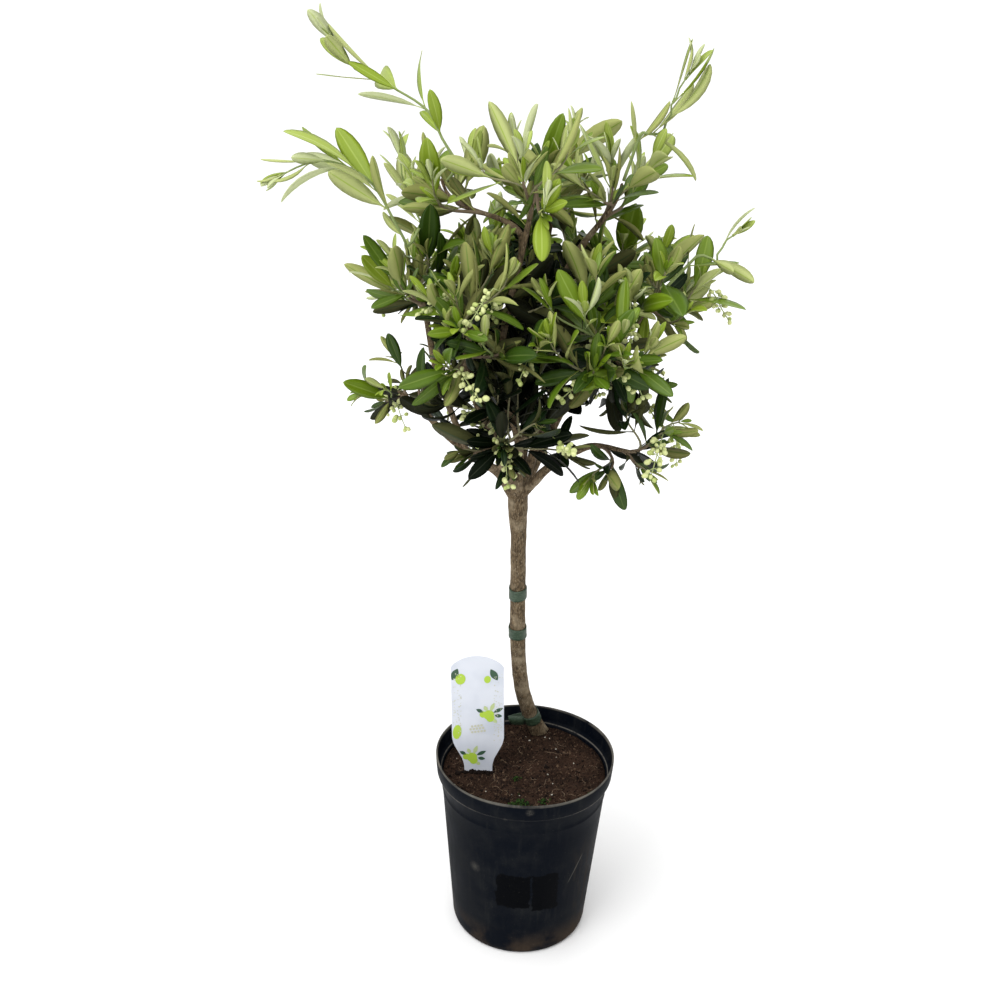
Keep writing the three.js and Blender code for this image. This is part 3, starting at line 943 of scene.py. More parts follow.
# Masses that differ from their zone: share of its shoots, and how much younger their leaves are.
ACCENTS = {
    "foliage_low_left": (0.5, 0.1),
    "foliage_low_right": (0.6, 0.08),
    "foliage_low_front": (1.0, -0.12),
    "foliage_low_back_left": (1.0, -0.05),
    "foliage_low_back_right": (1.0, -0.05),
    "foliage_mid_front_right": (1.1, 0.06),
    "foliage_mid_front_left": (1.0, -0.02),
    "foliage_mid_right": (0.7, 0.06),
    "foliage_mid_left": (0.75, 0.0),
    "foliage_top_front": (0.95, 0.04),
    "foliage_top_right": (0.75, 0.0),
    "foliage_top_left": (0.7, 0.0),
}

TWIG_FINISHES = (
    PlainFinish("twig_woody", (0.16, 0.12, 0.08), 0.8, 0.2),
    PlainFinish("twig_greying", (0.21, 0.2, 0.11), 0.7, 0.2),
    PlainFinish("twig_green", (0.22, 0.28, 0.1), 0.6, 0.25),
)

BUD_FINISHES = (
    PlainFinish("bud_pale", (0.56, 0.6, 0.27), 0.5),
    PlainFinish("bud_green", (0.4, 0.47, 0.15), 0.5),
    PlainFinish("bud_stalk", (0.36, 0.42, 0.17), 0.6),
)


@dataclass
class Mass:
    """One packed foliage mass, as the room that its leaves may fill."""

    node: str
    centre: np.ndarray
    tree: BVHTree
    zone: Zone

    @classmethod
    def of_node(cls, node: str) -> "Mass":
        """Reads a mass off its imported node."""
        points, triangles = node_arrays(node)
        tree = BVHTree.FromPolygons([Vector(p) for p in points], triangles.tolist())
        corners = points[triangles]
        normals = np.cross(corners[:, 1] - corners[:, 0], corners[:, 2] - corners[:, 0])
        weight = np.linalg.norm(normals, axis=1)
        centre = (corners.mean(axis=1) * weight[:, None]).sum(0) / weight.sum()
        zone = next((z for z in Zone if f"_{z.value}_" in node), Zone.LEADER)
        return cls(node, centre, tree, zone)

    def reach(self, direction: np.ndarray) -> float:
        """The distance from the centre to the surface along a direction."""
        hit = self.tree.ray_cast(Vector(self.centre), Vector(direction))
        return hit[3] if hit[3] is not None else 40 * MM


@dataclass
class Crown:
    """Everything that grows on from the boughs: branches, shoots, leaves and flower buds."""

    timber: Timber
    seed: int = 7
    leaf_margin: float = 20 * MM
    long_cluster: float = 44 * MM
    bud_gap: float = 6.4 * MM
    inner_gap: float = 17 * MM
    inner_limit: float = 0.62
    far_limb: float = 120 * MM
    spread: tuple[float, float, float] = (150 * MM, 150 * MM, 185 * MM)
    inner: list[Line] = field(default_factory=list)
    twigs: Heap = field(default_factory=Heap)
    buds: Heap = field(default_factory=Heap)
    leaves: dict[str, LeafHeap] = field(default_factory=dict)

    def __post_init__(self) -> None:
        """Reads the masses and seeds the growth."""
        self.random = np.random.default_rng(self.seed)
        names = sorted(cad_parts)
        self.masses = [Mass.of_node(node) for node in names if node.startswith("foliage_")]
        self.leaders = [node for node in names if node.startswith("leader_")]
        centres = np.array([mass.centre for mass in self.masses])
        self.middle = np.array([*centres[:, :2].mean(axis=0), self.timber.fork[2] + 60 * MM])
        self.heart = np.array([*centres[:, :2].mean(axis=0), centres[:, 2].mean() - 10 * MM])
        self.bud = self._bud_shape()

    # ----- small helpers

    def vary(self, value: float, share: float = 0.15) -> float:
        """A value scattered by a share of itself."""
        return float(value * (1 + share * np.clip(self.random.normal(), -2, 2)))

    def wander(self, direction: np.ndarray, share: float) -> np.ndarray:
        """A unit direction turned a little at random."""
        return unit(direction + share * self.random.normal(size=3))

    def twig(self, line: Line, finish: int, sides: int = 6) -> None:
        """Adds a thin tube along a course, closed at both ends."""
        self.twigs.add_tube(line, sides, finish)

    # ----- growth

    def grow(self) -> None:
        """Grows the whole crown."""
        for mass in self.masses:
            self._fill(mass)
        for node in self.leaders:
            self._lead(node)
        self._clothe_boughs()

    def _fill(self, mass: Mass) -> None:
        """Grows one mass: an inner limb, its branches, and shoots out to the surface."""
        habit = HABITS[mass.zone]
        share, youth = ACCENTS.get(mass.node, (1.0, 0.0))
        bough = self.timber.limb_of_mass(mass.centre)
        start, leave = bough.points[-1], bough.heading(1.0)
        outward = unit(mass.centre - self.middle + UP * 20 * MM * habit.rise)
        end = mass.centre + outward * mass.reach(outward) * 0.2
        if np.linalg.norm(start - end) > self.far_limb:
            start, leave = bough.at(0.55), bough.heading(0.55)
        limb = arc_line(start, leave, end, unit(outward + UP * 0.4 * habit.rise),
                        float(bough.radii[-1]), 1.5 * MM)
        self.inner.append(limb)
        directions = self._directions(round(habit.shoots * share), unit(outward + UP * 0.7 * habit.rise))
        leads = self._spread(directions, habit.branches)
        branches = [self._branch(mass, habit, limb, directions[lead]) for lead in leads]
        for direction in directions:
            fits = [direction @ unit(branch.points[-1] - mass.centre) for branch in branches]
            self._shoot(mass, habit, branches[int(np.argmax(fits))], direction, youth)

    def _clothe_boughs(self) -> None:
        """Grows short shoots along the boughs inside the crown, with older leaves that the depth term in
        _pair darkens into painted shade.
        """
        habit = HABITS[Zone.INNER]
        for bough in [*self.timber.boughs.values(), *self.inner]:
            first = 0.4 if bough.points[0][2] < self.middle[2] else 0.1
            for share in np.arange(first, 1.0, self.inner_gap / bough.length()):
                start, run = bough.at(share), bough.heading(share)
                side = unit(np.cross(run, self.random.normal(size=3)))
                aim = unit(side + run * 0.4 + UP * habit.rise * 0.5)
                end = start + aim * self.random.uniform(34, 62) * MM
                shoot = arc_line(start, unit(run + side), end, unit(aim + UP * habit.rise),
                                 1.2 * MM, 0.75 * MM, 7)
                if self._depth(end) > self.inner_limit:
                    continue
                nearest = min(self.masses, key=lambda mass: np.linalg.norm(end - mass.centre))
                self.twig(shoot, 1)
                self._dress(nearest.node, habit, shoot, 0.2, 0.0, 1.0, 1.0, bloom=habit.bloom)

    def _directions(self, count: int, outward: np.ndarray) -> np.ndarray:
        """Evenly scattered directions, without those that point back into the crown."""
        total = int(count * 1.6) + 2
        turn = math.pi * (1 + 5 ** 0.5) * (np.arange(total) + 0.5) + self.random.uniform(0, 6)
        height = 1 - 2 * (np.arange(total) + 0.5) / total
        flat = np.sqrt(1 - height ** 2)
        ball = np.stack([np.cos(turn) * flat, np.sin(turn) * flat, height], axis=-1)
        ball = unit(ball + self.random.normal(scale=0.14, size=ball.shape))
        return ball[np.argsort(-(ball @ outward))[:count]]

    @staticmethod
    def _spread(directions: np.ndarray, count: int) -> list[int]:
        """The directions that lie furthest apart."""
        chosen = [0]
        while len(chosen) < min(count, len(directions)):
            nearest = (directions @ directions[chosen].T).max(axis=1)
            chosen.append(int(np.argmin(nearest)))
        return chosen

    def _branch(self, mass: Mass, habit: Habit, limb: Line, direction: np.ndarray) -> Line:
        """A branch from the inner limb towards one side of the mass, with its older leaves."""
        share = float(self.random.uniform(0.2, 0.9))
        start, run = limb.at(share), limb.heading(share)
        reach = mass.reach(direction)
        end = mass.centre + reach * (direction * self.random.uniform(0.36, 0.52)
                                     - UP * 0.24 * min(habit.rise, 1.0))
        leave = unit(run + 0.7 * unit(end - start))
        branch = arc_line(start, leave, end, unit(direction + UP * habit.rise * 0.5), 1.9 * MM, 1.25 * MM, 7)
        self.twig(branch, 0)
        self._dress(mass.node, habit, branch, 0.2, youth=-0.1, scale=0.95, gap=1.15)
        return branch

    def _shoot(self, mass: Mass, habit: Habit, branch: Line, direction: np.ndarray, young: float) -> None:
        """A leafy shoot out to the surface of the mass."""
        share = float(self.random.uniform(0.3, 0.98))
        start, run = branch.at(share), branch.heading(share)
        facing = float(direction @ unit(mass.centre - self.heart))
        margin = self.leaf_margin * float(np.interp(facing, (-0.2, 0.6), (-0.4, 1.0)))
        far = max(mass.reach(direction) - margin, 16 * MM)
        end = mass.centre + direction * far * self.random.uniform(0.86, 1.04)
        clear = unit(end - self.heart)
        arrive = unit(direction * 0.4 + clear * 0.35 + UP * (habit.rise * 0.9 - habit.sag * 0.5))
        shoot = arc_line(start, unit(run + 0.5 * unit(end - start)), end, self.wander(arrive, 0.12),
                         1.25 * MM, 0.75 * MM, 9)
        youth = young + float(self.random.normal(scale=0.1))
        self.twig(shoot, 2 if habit.youth + youth > 0.6 else 1)
        self._dress(mass.node, habit, shoot, 0.12, youth, 1.0, 1.0, bloom=habit.bloom)
        if self.random.random() < habit.bloom:
            self._panicle(shoot, 0.9, self.random.uniform(0, 6.3), self.vary(self.long_cluster))

    def _lead(self, node: str) -> None:
        """A leading shoot that stands clear of the crown."""
        habit = HABITS[Zone.LEADER]
        points, _ = node_arrays(node)
        nearest = min(self.masses, key=lambda mass: np.linalg.norm(points.mean(axis=0) - mass.centre))
        line = Line.of_node(node, nearest.centre, 9)
        root = nearest.centre + (line.points[0] - nearest.centre) * 0.25
        whole = np.vstack([root, (root + line.points[0]) / 2, line.points])
        tip = len(whole) - 1
        course = Line(whole[:tip], np.linspace(1.5 * MM, 0.7 * MM, tip)).even(8 * MM)
        self.twig(course, 2)
        self._dress(node, habit, course, 0.3, 0.05, 1.0, 1.0)

    def _dress(self, node: str, habit: Habit, stem: Line, bare: float, youth: float, scale: float,
               gap: float, bloom: float = 0.0) -> None:
        """Sets pairs of leaves along a stem, each pair square to the last, and a tuft at its tip.

        Args:
            node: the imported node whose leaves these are.
            habit: how growth behaves here.
            stem: the stem's course.
            bare: the share of the stem that stays bare at its foot.
            youth: how much younger than the zone's usual the leaves are.
            scale: leaf size against the zone's usual.
            gap: spacing of the pairs against the zone's usual.
            bloom: the chance of a flower cluster at a pair.
        """
        heap = self.leaves.setdefault(node, LeafHeap())
        length = stem.length()
        share = bare + float(self.random.uniform(0, 0.06))
        turn = float(self.random.uniform(0, math.pi))
        while share < 1.0:
            progress = (share - bare) / (1 - bare)
            swell = 0.42 * math.sin(math.pi * min(progress * 0.8 + 0.15, 1.0)) ** 1.5
            size = habit.leaf * scale * (0.8 + swell - 0.3 * max(0.0, progress - 0.6) / 0.4)
            self._pair(heap, habit, stem, share, turn, size, progress, youth)
            if self.random.random() < bloom and progress < 0.8:
                self._panicle(stem, share, turn)
            turn += math.pi / 2 + float(self.random.normal(scale=0.22))
            share += self.vary(habit.gap * gap * (1.15 - 0.45 * progress), 0.2) / length
        for extra in range(2):
            self._pair(heap, habit, stem, 0.995, turn + extra * math.pi / 2,
                       habit.leaf * scale * (0.6 - 0.2 * extra), 1.0 + 0.12 * extra, youth)

    def _depth(self, where: np.ndarray) -> float:
        """How far out in the crown a place is: 0 at its heart, 1 at its surface."""
        return float(np.linalg.norm((where - self.heart) / self.spread))

    def _pair(self, heap: LeafHeap, habit: Habit, stem: Line, share: float, turn: float, size: float,
              progress: float, youth: float) -> None:
        """One pair of opposite leaves."""
        where, run = stem.at(share), stem.heading(min(share, 0.97))
        across = unit(np.cross(run, UP) if abs(run[2]) < 0.95 else np.cross(run, [0.0, 1.0, 0.0]))
        aside = np.cross(run, across)
        # painted shade and painted light: tints darken towards the crown's heart and lighten high above it
        shade = (0.8 * (min(self._depth(where), 1.08) - 0.84)
                 + 2.4 * float(np.clip(where[2] - self.heart[2], -0.03, 0.09)))
        for flip in (0.0, math.pi):
            if progress < 0.9 and self.random.random() < 0.1:
                continue
            angle = turn + flip + float(self.random.normal(scale=0.16))
            side = math.cos(angle) * across + math.sin(angle) * aside
            spread = math.radians(habit.spread - 27 * min(progress, 1.1)
                                  + float(self.random.normal(scale=8)))
            axis = math.cos(spread) * run + math.sin(spread) * side
            face = math.sin(spread) * run - math.cos(spread) * side
            axis = unit(axis - UP * habit.sag * float(self.random.uniform(0.2, 1.2)))
            face = unit(face + UP * habit.light * float(self.random.uniform(0.4, 1.5)))
            if self.random.random() < habit.rolled:
                face = self.wander(-face, 0.3)
            # tint level: leaf age plus the painted shade and painted light above
            age_and_painted_shade = (habit.youth + youth + shade + 0.2 * (progress - 0.5)
                   + float(self.random.normal(scale=0.06)))
            tint = int(np.clip(age_and_painted_shade * len(TINTS), 0, len(TINTS) - 1))
            length = max(self.vary(size, 0.17), 11 * MM)
            heap.leaves.append(Leaf(
                where + side * 0.6 * MM, axis, face, length,
                width=length * self.vary(habit.slim, 0.14),
                fold=math.radians(self.vary(14 + 14 * max(0.0, progress - 0.4), 0.4)),
                bend=float(self.random.normal(0.2 + habit.sag * 0.5, 0.25)),
                twist=float(self.random.normal(0.0, 0.22)), tint=tint))

    # ----- flower buds

    @staticmethod
    def _bud_shape() -> tuple[np.ndarray, np.ndarray, np.ndarray]:
        """A small plump bud along +Z: rings of six, closed at both ends."""
        heights = np.array([0.0, 0.22, 0.55, 0.85])
        girths = np.array([0.14, 0.37, 0.43, 0.27])
        turn = np.linspace(0, 2 * math.pi, 6, endpoint=False)
        rings = np.stack([np.cos(turn)[None] * girths[:, None], np.sin(turn)[None] * girths[:, None],
                          np.broadcast_to(heights[:, None], (4, 6))], axis=-1).reshape(-1, 3)
        return np.vstack([rings, [0, 0, 1.0]]), tube_faces(4, 6), np.array(
            [[18 + i, 18 + (i + 1) % 6, 24] for i in range(6)])

    def _bud(self, where: np.ndarray, run: np.ndarray, size: float) -> None:
        """One flower bud."""
        points, quads, caps = self.bud
        across = unit(np.cross(run, self.wander(UP, 0.5)))
        aside = np.cross(run, across)
        placed = where + size * (points[:, :1] * across + points[:, 1:2] * aside + points[:, 2:] * run)
        finish = int(self.random.random() < 0.3)
        self.buds.add(placed, quads, finish)
        self.buds.more_faces(caps, finish, len(points))
        self.buds.more_faces(np.arange(6)[None, ::-1], finish, len(points))

    def _stalk(self, start: np.ndarray, end: np.ndarray, leave: np.ndarray, arrive: np.ndarray,
               radius: float, stations: int) -> Line:
        """A thin stalk of a flower cluster."""
        line = arc_line(start, leave, end, arrive, radius, radius * 0.8, stations)
        self.buds.add_tube(line, 4, 2)
        return line

    def _panicle(self, stem: Line, share: float, turn: float, length: float | None = None) -> None:
        """A cluster of buds from a leaf's foot.

        Args:
            stem: the stem it grows on.
            share: where along the stem.
            turn: the side it leaves by.
            length: its length, or None for a usual one.
        """
        where, run = stem.at(share), stem.heading(share)
        across = unit(np.cross(run, UP) if abs(run[2]) < 0.95 else np.cross(run, [0.0, 1.0, 0.0]))
        aside = np.cross(run, across)
        side = math.cos(turn) * across + math.sin(turn) * aside
        length = length or self.vary(28 * MM, 0.25)
        leave = unit(run * 0.6 + side)
        end = where + length * unit(leave * 0.6 + side * 0.2 - UP * self.random.uniform(0.3, 1.3))
        self._cluster(self._stalk(where, end, leave, unit(end - where), 0.6 * MM, 5), 0.3)

    def _cluster(self, axis: Line, first: float) -> None:
        """Pairs of short arms with buds along the outer part of a stalk."""
        count = max(3, round(axis.length() * (1 - first) / self.bud_gap))
        for place in np.linspace(first, 1.0, count):
            foot, along = axis.at(place), axis.heading(min(place, 0.95))
            spread = unit(np.cross(along, self.wander(UP, 0.6)))
            reach = 5.0 * MM * (1.2 - 0.6 * place)
            for sign in (-1, 1):
                tip = foot + reach * unit(spread * sign + along * 0.5 + 0.2 * self.random.normal(size=3))
                arm = self._stalk(foot, tip, unit(spread * sign), unit(tip - foot), 0.42 * MM, 3)
                self._bud(arm.points[-1], arm.heading(0.9), self.vary(5.0 * MM))
                if place < 0.85:
                    aim = self.wander(arm.heading(0.7), 0.75)
                    self._bud(arm.at(0.6) + aim * 1.0 * MM, aim, self.vary(4.4 * MM))
                if place < 0.7:
                    aim = self.wander(spread * sign - along * 0.4, 0.6)
                    self._bud(arm.at(0.25) + aim * 1.2 * MM, aim, self.vary(4.2 * MM))
        self._bud(axis.points[-1], axis.heading(0.9), 4.6 * MM)

    # ----- pieces

    def build(self) -> None:
        """Makes the pieces of twigs, leaves and buds."""
        publish("twigs", self.twigs.mesh(), [finish.make() for finish in TWIG_FINISHES])
        finishes = [finish.make() for tint in TINTS for finish in tint.finishes()]
        for node, heap in self.leaves.items():
            publish(f"leaves_{node.removeprefix('foliage_')}", heap.mesh(), finishes, [node])
        publish("flower_buds", self.buds.mesh(), [finish.make() for finish in BUD_FINISHES])
        LOG.info("leaves in all: %d", sum(len(heap.leaves) for heap in self.leaves.values()))


# ---------------------------------------------------------------------------
# shapes shared by pot, soil, tag and ties
# ---------------------------------------------------------------------------

def turned(profile: Sequence[tuple[float, float]], steps: int) -> bmesh.types.BMesh:
    """Spins an outline of radius and height about the upright axis.

    Args:
        profile: radius and height of each corner, in metres.
        steps: how many steps the full turn has.

    Returns:
        The closed shape, its faces pointing out.
    """
    shape = bmesh.new()
    verts = [shape.verts.new((radius, 0.0, height)) for radius, height in profile]
    edges = [shape.edges.new(pair) for pair in zip(verts, verts[1:])]
    bmesh.ops.spin(shape, geom=verts + edges, cent=(0, 0, 0), axis=(0, 0, 1), dvec=(0, 0, 0),
                   angle=2 * math.pi, steps=steps, use_merge=True)
    bmesh.ops.remove_doubles(shape, verts=shape.verts, dist=1e-6)
    bmesh.ops.recalc_face_normals(shape, faces=shape.faces)
    return shape


def soften(shape: bmesh.types.BMesh, width: float, corner: float, segments: int = 2) -> None:
    """Bevels every edge that is sharper than a corner angle in degrees."""
    sharp = [edge for edge in shape.edges
             if len(edge.link_faces) == 2 and edge.calc_face_angle() > math.radians(corner)]
    bmesh.ops.bevel(shape, geom=sharp, offset=width, affect="EDGES", segments=segments, profile=0.5,
                    material=-1)


def mesh_of(shape: bmesh.types.BMesh) -> bpy.types.Mesh:
    """Turns a finished shape into a mesh."""
    mesh = bpy.data.meshes.new("shape")
    shape.to_mesh(mesh)
    shape.free()
    return mesh


def ball_arrays(detail: int) -> tuple[np.ndarray, np.ndarray]:
    """Points and triangles of a unit ball, for many small lumps."""
    shape = bmesh.new()
    bmesh.ops.create_icosphere(shape, subdivisions=detail, radius=1.0)
    points = np.array([vert.co for vert in shape.verts])
    faces = np.array([[vert.index for vert in face.verts] for face in shape.faces])
    shape.free()
    return points, faces


# ---------------------------------------------------------------------------
# the pot
# ---------------------------------------------------------------------------

@dataclass
class NurseryPot:
    """The round pot: a turned shell with a rim band, a faint ridge, a raised floor and drain holes."""

    band_height: float = 18.5 * MM
    band_lean: float = 1.4 * MM
    band_step: float = 4.3 * MM
    ledge: float = 1.1 * MM
    ridge_below: float = 21 * MM
    ridge: float = 0.45 * MM
    foot_radius: float = 68 * MM
    body_foot: float = 74 * MM
    foot_round: float = 12 * MM
    wall: float = 1.9 * MM
    floor: float = 2.5 * MM
    recess: float = 1.4 * MM
    drain_radius: float = 5 * MM
    drain_circle: float = 50 * MM
    drains: int = 8
    steps: int = 144

    def __post_init__(self) -> None:
        """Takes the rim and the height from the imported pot."""
        low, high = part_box("pot")
        self.rim = (high.x - low.x) / 2
        self.height = high.z

    def _outside(self) -> list[tuple[float, float]]:
        """The outer outline from the middle of the floor up to the lip."""
        foot = [(self.foot_radius + (self.body_foot - self.foot_radius) * math.sin(turn) ** 0.8,
                 self.foot_round * (1 - math.cos(turn))) for turn in np.linspace(0.12, math.pi / 2, 6)]
        under = self.height - self.band_height
        body_top = self.rim - self.band_lean - self.band_step
        slope = (body_top - self.body_foot) / (under - self.foot_round)
        body = [(self.body_foot + slope * (z - self.foot_round), z)
                for z in np.linspace(self.foot_round, under - self.ridge_below - 2 * MM, 12)[1:]]
        level = under - self.ridge_below
        edge = self.body_foot + slope * (level - self.foot_round)
        ridge = [(edge + self.ridge, level - 0.5 * MM), (edge + self.ridge, level + 0.5 * MM)]
        flare = self.rim - self.band_lean - self.ledge - edge
        ridge += [(edge + flare * share ** 1.5, level + (under - level) * share)
                  for share in np.linspace(0.1, 0.97, 7)]
        band = [(self.rim - self.band_lean - self.ledge, under - 0.4 * MM),
                (self.rim - self.band_lean, under),
                (self.rim - self.band_lean * 0.4, under + 9 * MM), (self.rim, self.height)]
        start = [(0.0, self.recess), (self.foot_radius * 0.86, self.recess),
                 (self.foot_radius * 0.89, 0.0), (self.foot_radius, 0.0)]
        return start + foot + body + ridge + band

    def _inside(self) -> list[tuple[float, float]]:
        """The inner outline from the lip down to the middle of the floor."""
        under = self.height - self.band_height
        body_top = self.rim - self.band_lean - self.band_step
        return [(self.rim - self.wall, self.height), (self.rim - self.band_lean - self.wall, under + 3 * MM),
                (body_top - self.wall, under - 2 * MM), (self.body_foot - self.wall, self.foot_round),
                (self.foot_radius - self.wall, self.recess + self.floor), (0.0, self.recess + self.floor)]

    def _wobble(self, shape: bmesh.types.BMesh) -> None:
        """Leaves the thin wall a little out of round, most at the rim."""
        for vert in shape.verts:
            turn = math.atan2(vert.co.y, vert.co.x)
            share = (vert.co.z / self.height) ** 2
            give = 0.004 * math.sin(2 * turn + 0.9) + 0.0022 * math.sin(5 * turn + 0.3)
            give += 0.0035 * noise.noise(Vector((vert.co.x * 18, vert.co.y * 18, vert.co.z * 9)))
            vert.co.x *= 1 + give * share
            vert.co.y *= 1 + give * share
            vert.co.z += share * 0.7 * MM * math.sin(3 * turn) * (vert.co.z > self.height * 0.8)

    def _drill(self, pot: bpy.types.Mesh) -> bpy.types.Mesh:
        """Cuts the drain holes through the floor."""
        cutter = bmesh.new()
        for index in range(self.drains):
            turn = Matrix.Rotation(2 * math.pi * index / self.drains, 4, "Z")
            place = turn @ Matrix.Translation((self.drain_circle, 0, self.floor / 2))
            bmesh.ops.create_cone(cutter, cap_ends=True, segments=24, radius1=self.drain_radius,
                                  radius2=self.drain_radius, depth=self.floor * 6, matrix=place)
        body, tool = (bpy.data.objects.new(name, mesh) for name, mesh in
                      (("pot_body", pot), ("pot_drill", mesh_of(cutter))))
        for item in (body, tool):
            bpy.context.scene.collection.objects.link(item)
        cut = body.modifiers.new("drains", "BOOLEAN")
        cut.operation = "DIFFERENCE"
        cut.solver = "EXACT"
        cut.object = tool
        graph = bpy.context.evaluated_depsgraph_get()
        drilled = bpy.data.meshes.new_from_object(body.evaluated_get(graph))
        for item in (body, tool):
            bpy.data.objects.remove(item)
        drilled.materials.clear()
        return drilled

    def build(self) -> None:
        """Makes the pot."""
        shape = turned(self._outside() + self._inside(), self.steps)
        soften(shape, 0.45 * MM, 35)
        self._wobble(shape)
        mesh = self._drill(mesh_of(shape))
        pot = publish("nursery_pot", mesh, [PotPlastic().make()], ["pot"])
        pot.data.set_sharp_from_angle(angle=math.radians(40))


# ---------------------------------------------------------------------------
# the soil
# ---------------------------------------------------------------------------

SOIL_BITS = (
    PlainFinish("peat_crumb_dark", (0.007, 0.004, 0.003), 0.95, 0.1),
    PlainFinish("peat_crumb_brown", (0.036, 0.02, 0.013), 0.95, 0.1),
    PlainFinish("peat_crumb_tan", (0.085, 0.054, 0.034), 0.9, 0.1),
    PlainFinish("perlite_white", (0.5, 0.47, 0.4), 0.85, 0.2),
    PlainFinish("root_hair", (0.25, 0.18, 0.12), 0.75, 0.15),
    PlainFinish("moss_green", (0.02, 0.045, 0.008), 0.9, 0.1),
    PlainFinish("moss_deep", (0.007, 0.018, 0.005), 0.9, 0.1),
)


@dataclass
class SoilBed:
    """The pot's fill: a rough bed with crumbs, pale specks, fine roots and tufts of moss."""

    seed: int = 21
    rough: float = 1.5 * MM
    depth: float = 20 * MM
    draw_in: float = 4 * MM
    rings: int = 60
    steps: int = 200
    crumbs: int = 3600
    specks: int = 26
    # crumbs heaped at the tag's foot, all dark as painted shadow of the tag
    heaped: int = 70
    roots: int = 46
    moss: tuple[tuple[float, float, float, int], ...] = (
        (-3 * MM, -62 * MM, 9 * MM, 90), (-12 * MM, -68 * MM, 6 * MM, 40), (20 * MM, -58 * MM, 6 * MM, 34),
        (72 * MM, -42 * MM, 5 * MM, 34), (-8 * MM, -20 * MM, 5 * MM, 18))

    def __post_init__(self) -> None:
        """Takes level and radius from the packed soil."""
        low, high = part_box("soil")
        self.level = high.z
        self.radius = (high.x - low.x) / 2
        self.random = np.random.default_rng(self.seed)
        self.bits = Heap()
        points, _ = node_arrays("label")
        low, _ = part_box("label")
        foot = points[points[:, 2] < low.z + 3 * MM].mean(axis=0)
        self.tag = np.array([foot[0], low.y - 2 * MM])

    def height(self, x: float, y: float) -> float:
        """The soil's surface above its level at a place."""
        place = Vector((x, y, 0.0))
        swell = (noise.noise(place * 28) * 1.5 + noise.noise(place * 110) * 0.8
                 + noise.noise(place * 420) * 0.55)
        edge = max(0.0, math.hypot(x, y) / self.radius - 0.93) / 0.07
        return self.rough * (swell - 1.1 * edge ** 2) - 0.6 * MM

    def _bed(self) -> bpy.types.Mesh:
        """The bed itself, closed below."""
        outline = [(self.radius * share, self.level) for share in np.linspace(0, 1, self.rings) ** 0.9]
        outline += [(self.radius - self.draw_in, self.level - self.depth), (0.0, self.level - self.depth)]
        shape = turned(outline, self.steps)
        for vert in shape.verts:
            if vert.co.z > self.level - 1e-5:
                vert.co.z += self.height(vert.co.x, vert.co.y)
        return mesh_of(shape)

    def _somewhere(self) -> np.ndarray:
        """A random place on the surface."""
        turn, share = self.random.uniform(0, 2 * math.pi), math.sqrt(self.random.uniform(0, 0.94))
        x, y = self.radius * share * math.cos(turn), self.radius * share * math.sin(turn)
        return np.array([x, y, self.level + self.height(x, y)])

    def _lump(self, shape: tuple[np.ndarray, np.ndarray], where: np.ndarray, size: np.ndarray,
              slot: int) -> None:
        """One uneven lump, turned at random."""
        points, faces = shape
        turn = np.linalg.qr(self.random.normal(size=(3, 3)))[0]
        turn *= np.sign(np.linalg.det(turn))
        uneven = points * (1 + 0.22 * self.random.normal(size=(len(points), 1)).clip(-1.5, 1.5))
        self.bits.add((uneven * size) @ turn.T + where, faces, slot)

    def _scatter(self) -> None:
        """Strews crumbs and pale specks, and heaps crumbs at the tag's front foot, all dark as painted
        shadow of the tag.
        """
        small = ball_arrays(1)
        for _ in range(self.crumbs):
            size = 0.55 * MM * math.exp(self.random.normal(scale=0.45))
            stretch = np.array([1.0, self.random.uniform(0.5, 1.0), self.random.uniform(0.35, 0.8)])
            slot = int(self.random.choice(3, p=(0.42, 0.43, 0.15)))
            self._lump(small, self._somewhere() + UP * size * 0.2, size * stretch * 1.5, slot)
        # painted shadow: a strip of only dark crumbs along the tag's front foot
        for _ in range(self.heaped):
            x, y = self.tag + self.random.normal(size=2) * (8.5 * MM, 1.6 * MM)
            size = self.random.uniform(0.8, 2.0) * MM
            place = np.array([x, y, self.level + self.height(x, y) + size * 0.6])
            self._lump(small, place, np.full(3, size), 0)
        for _ in range(self.specks):
            size = self.random.uniform(0.5, 1.15) * MM
            self._lump(small, self._somewhere() + UP * size * 0.5, np.full(3, size), 3)

    def _thread(self, start: np.ndarray, turn: float, length: float, radius: float, slot: int) -> None:
        """A fine root or fibre that winds over the surface."""
        points = [start]
        for _ in range(9):
            turn += float(self.random.normal(scale=0.5))
            step = points[-1] + length / 9 * np.array([math.cos(turn), math.sin(turn), 0.0])
            if math.hypot(step[0], step[1]) > self.radius * 0.97:
                break
            lift = self.random.uniform(0.1, 1.3) * MM
            step[2] = self.level + self.height(step[0], step[1]) + lift
            points.append(step)
        if len(points) < 4:
            return
        line = Line(np.array(points), np.linspace(radius, radius * 0.55, len(points)))
        self.bits.add_tube(line, 4, slot)

    def _fibres(self) -> None:
        """Lays pale roots and many short brown fibres."""
        for _ in range(self.roots):
            self._thread(self._somewhere(), self.random.uniform(0, 6.3), self.random.uniform(8, 26) * MM,
                         self.random.uniform(0.12, 0.22) * MM, 4)
        for _ in range(900):
            self._thread(self._somewhere(), self.random.uniform(0, 6.3), self.random.uniform(3, 9) * MM,
                         self.random.uniform(0.12, 0.26) * MM, int(self.random.choice((1, 2), p=(0.6, 0.4))))

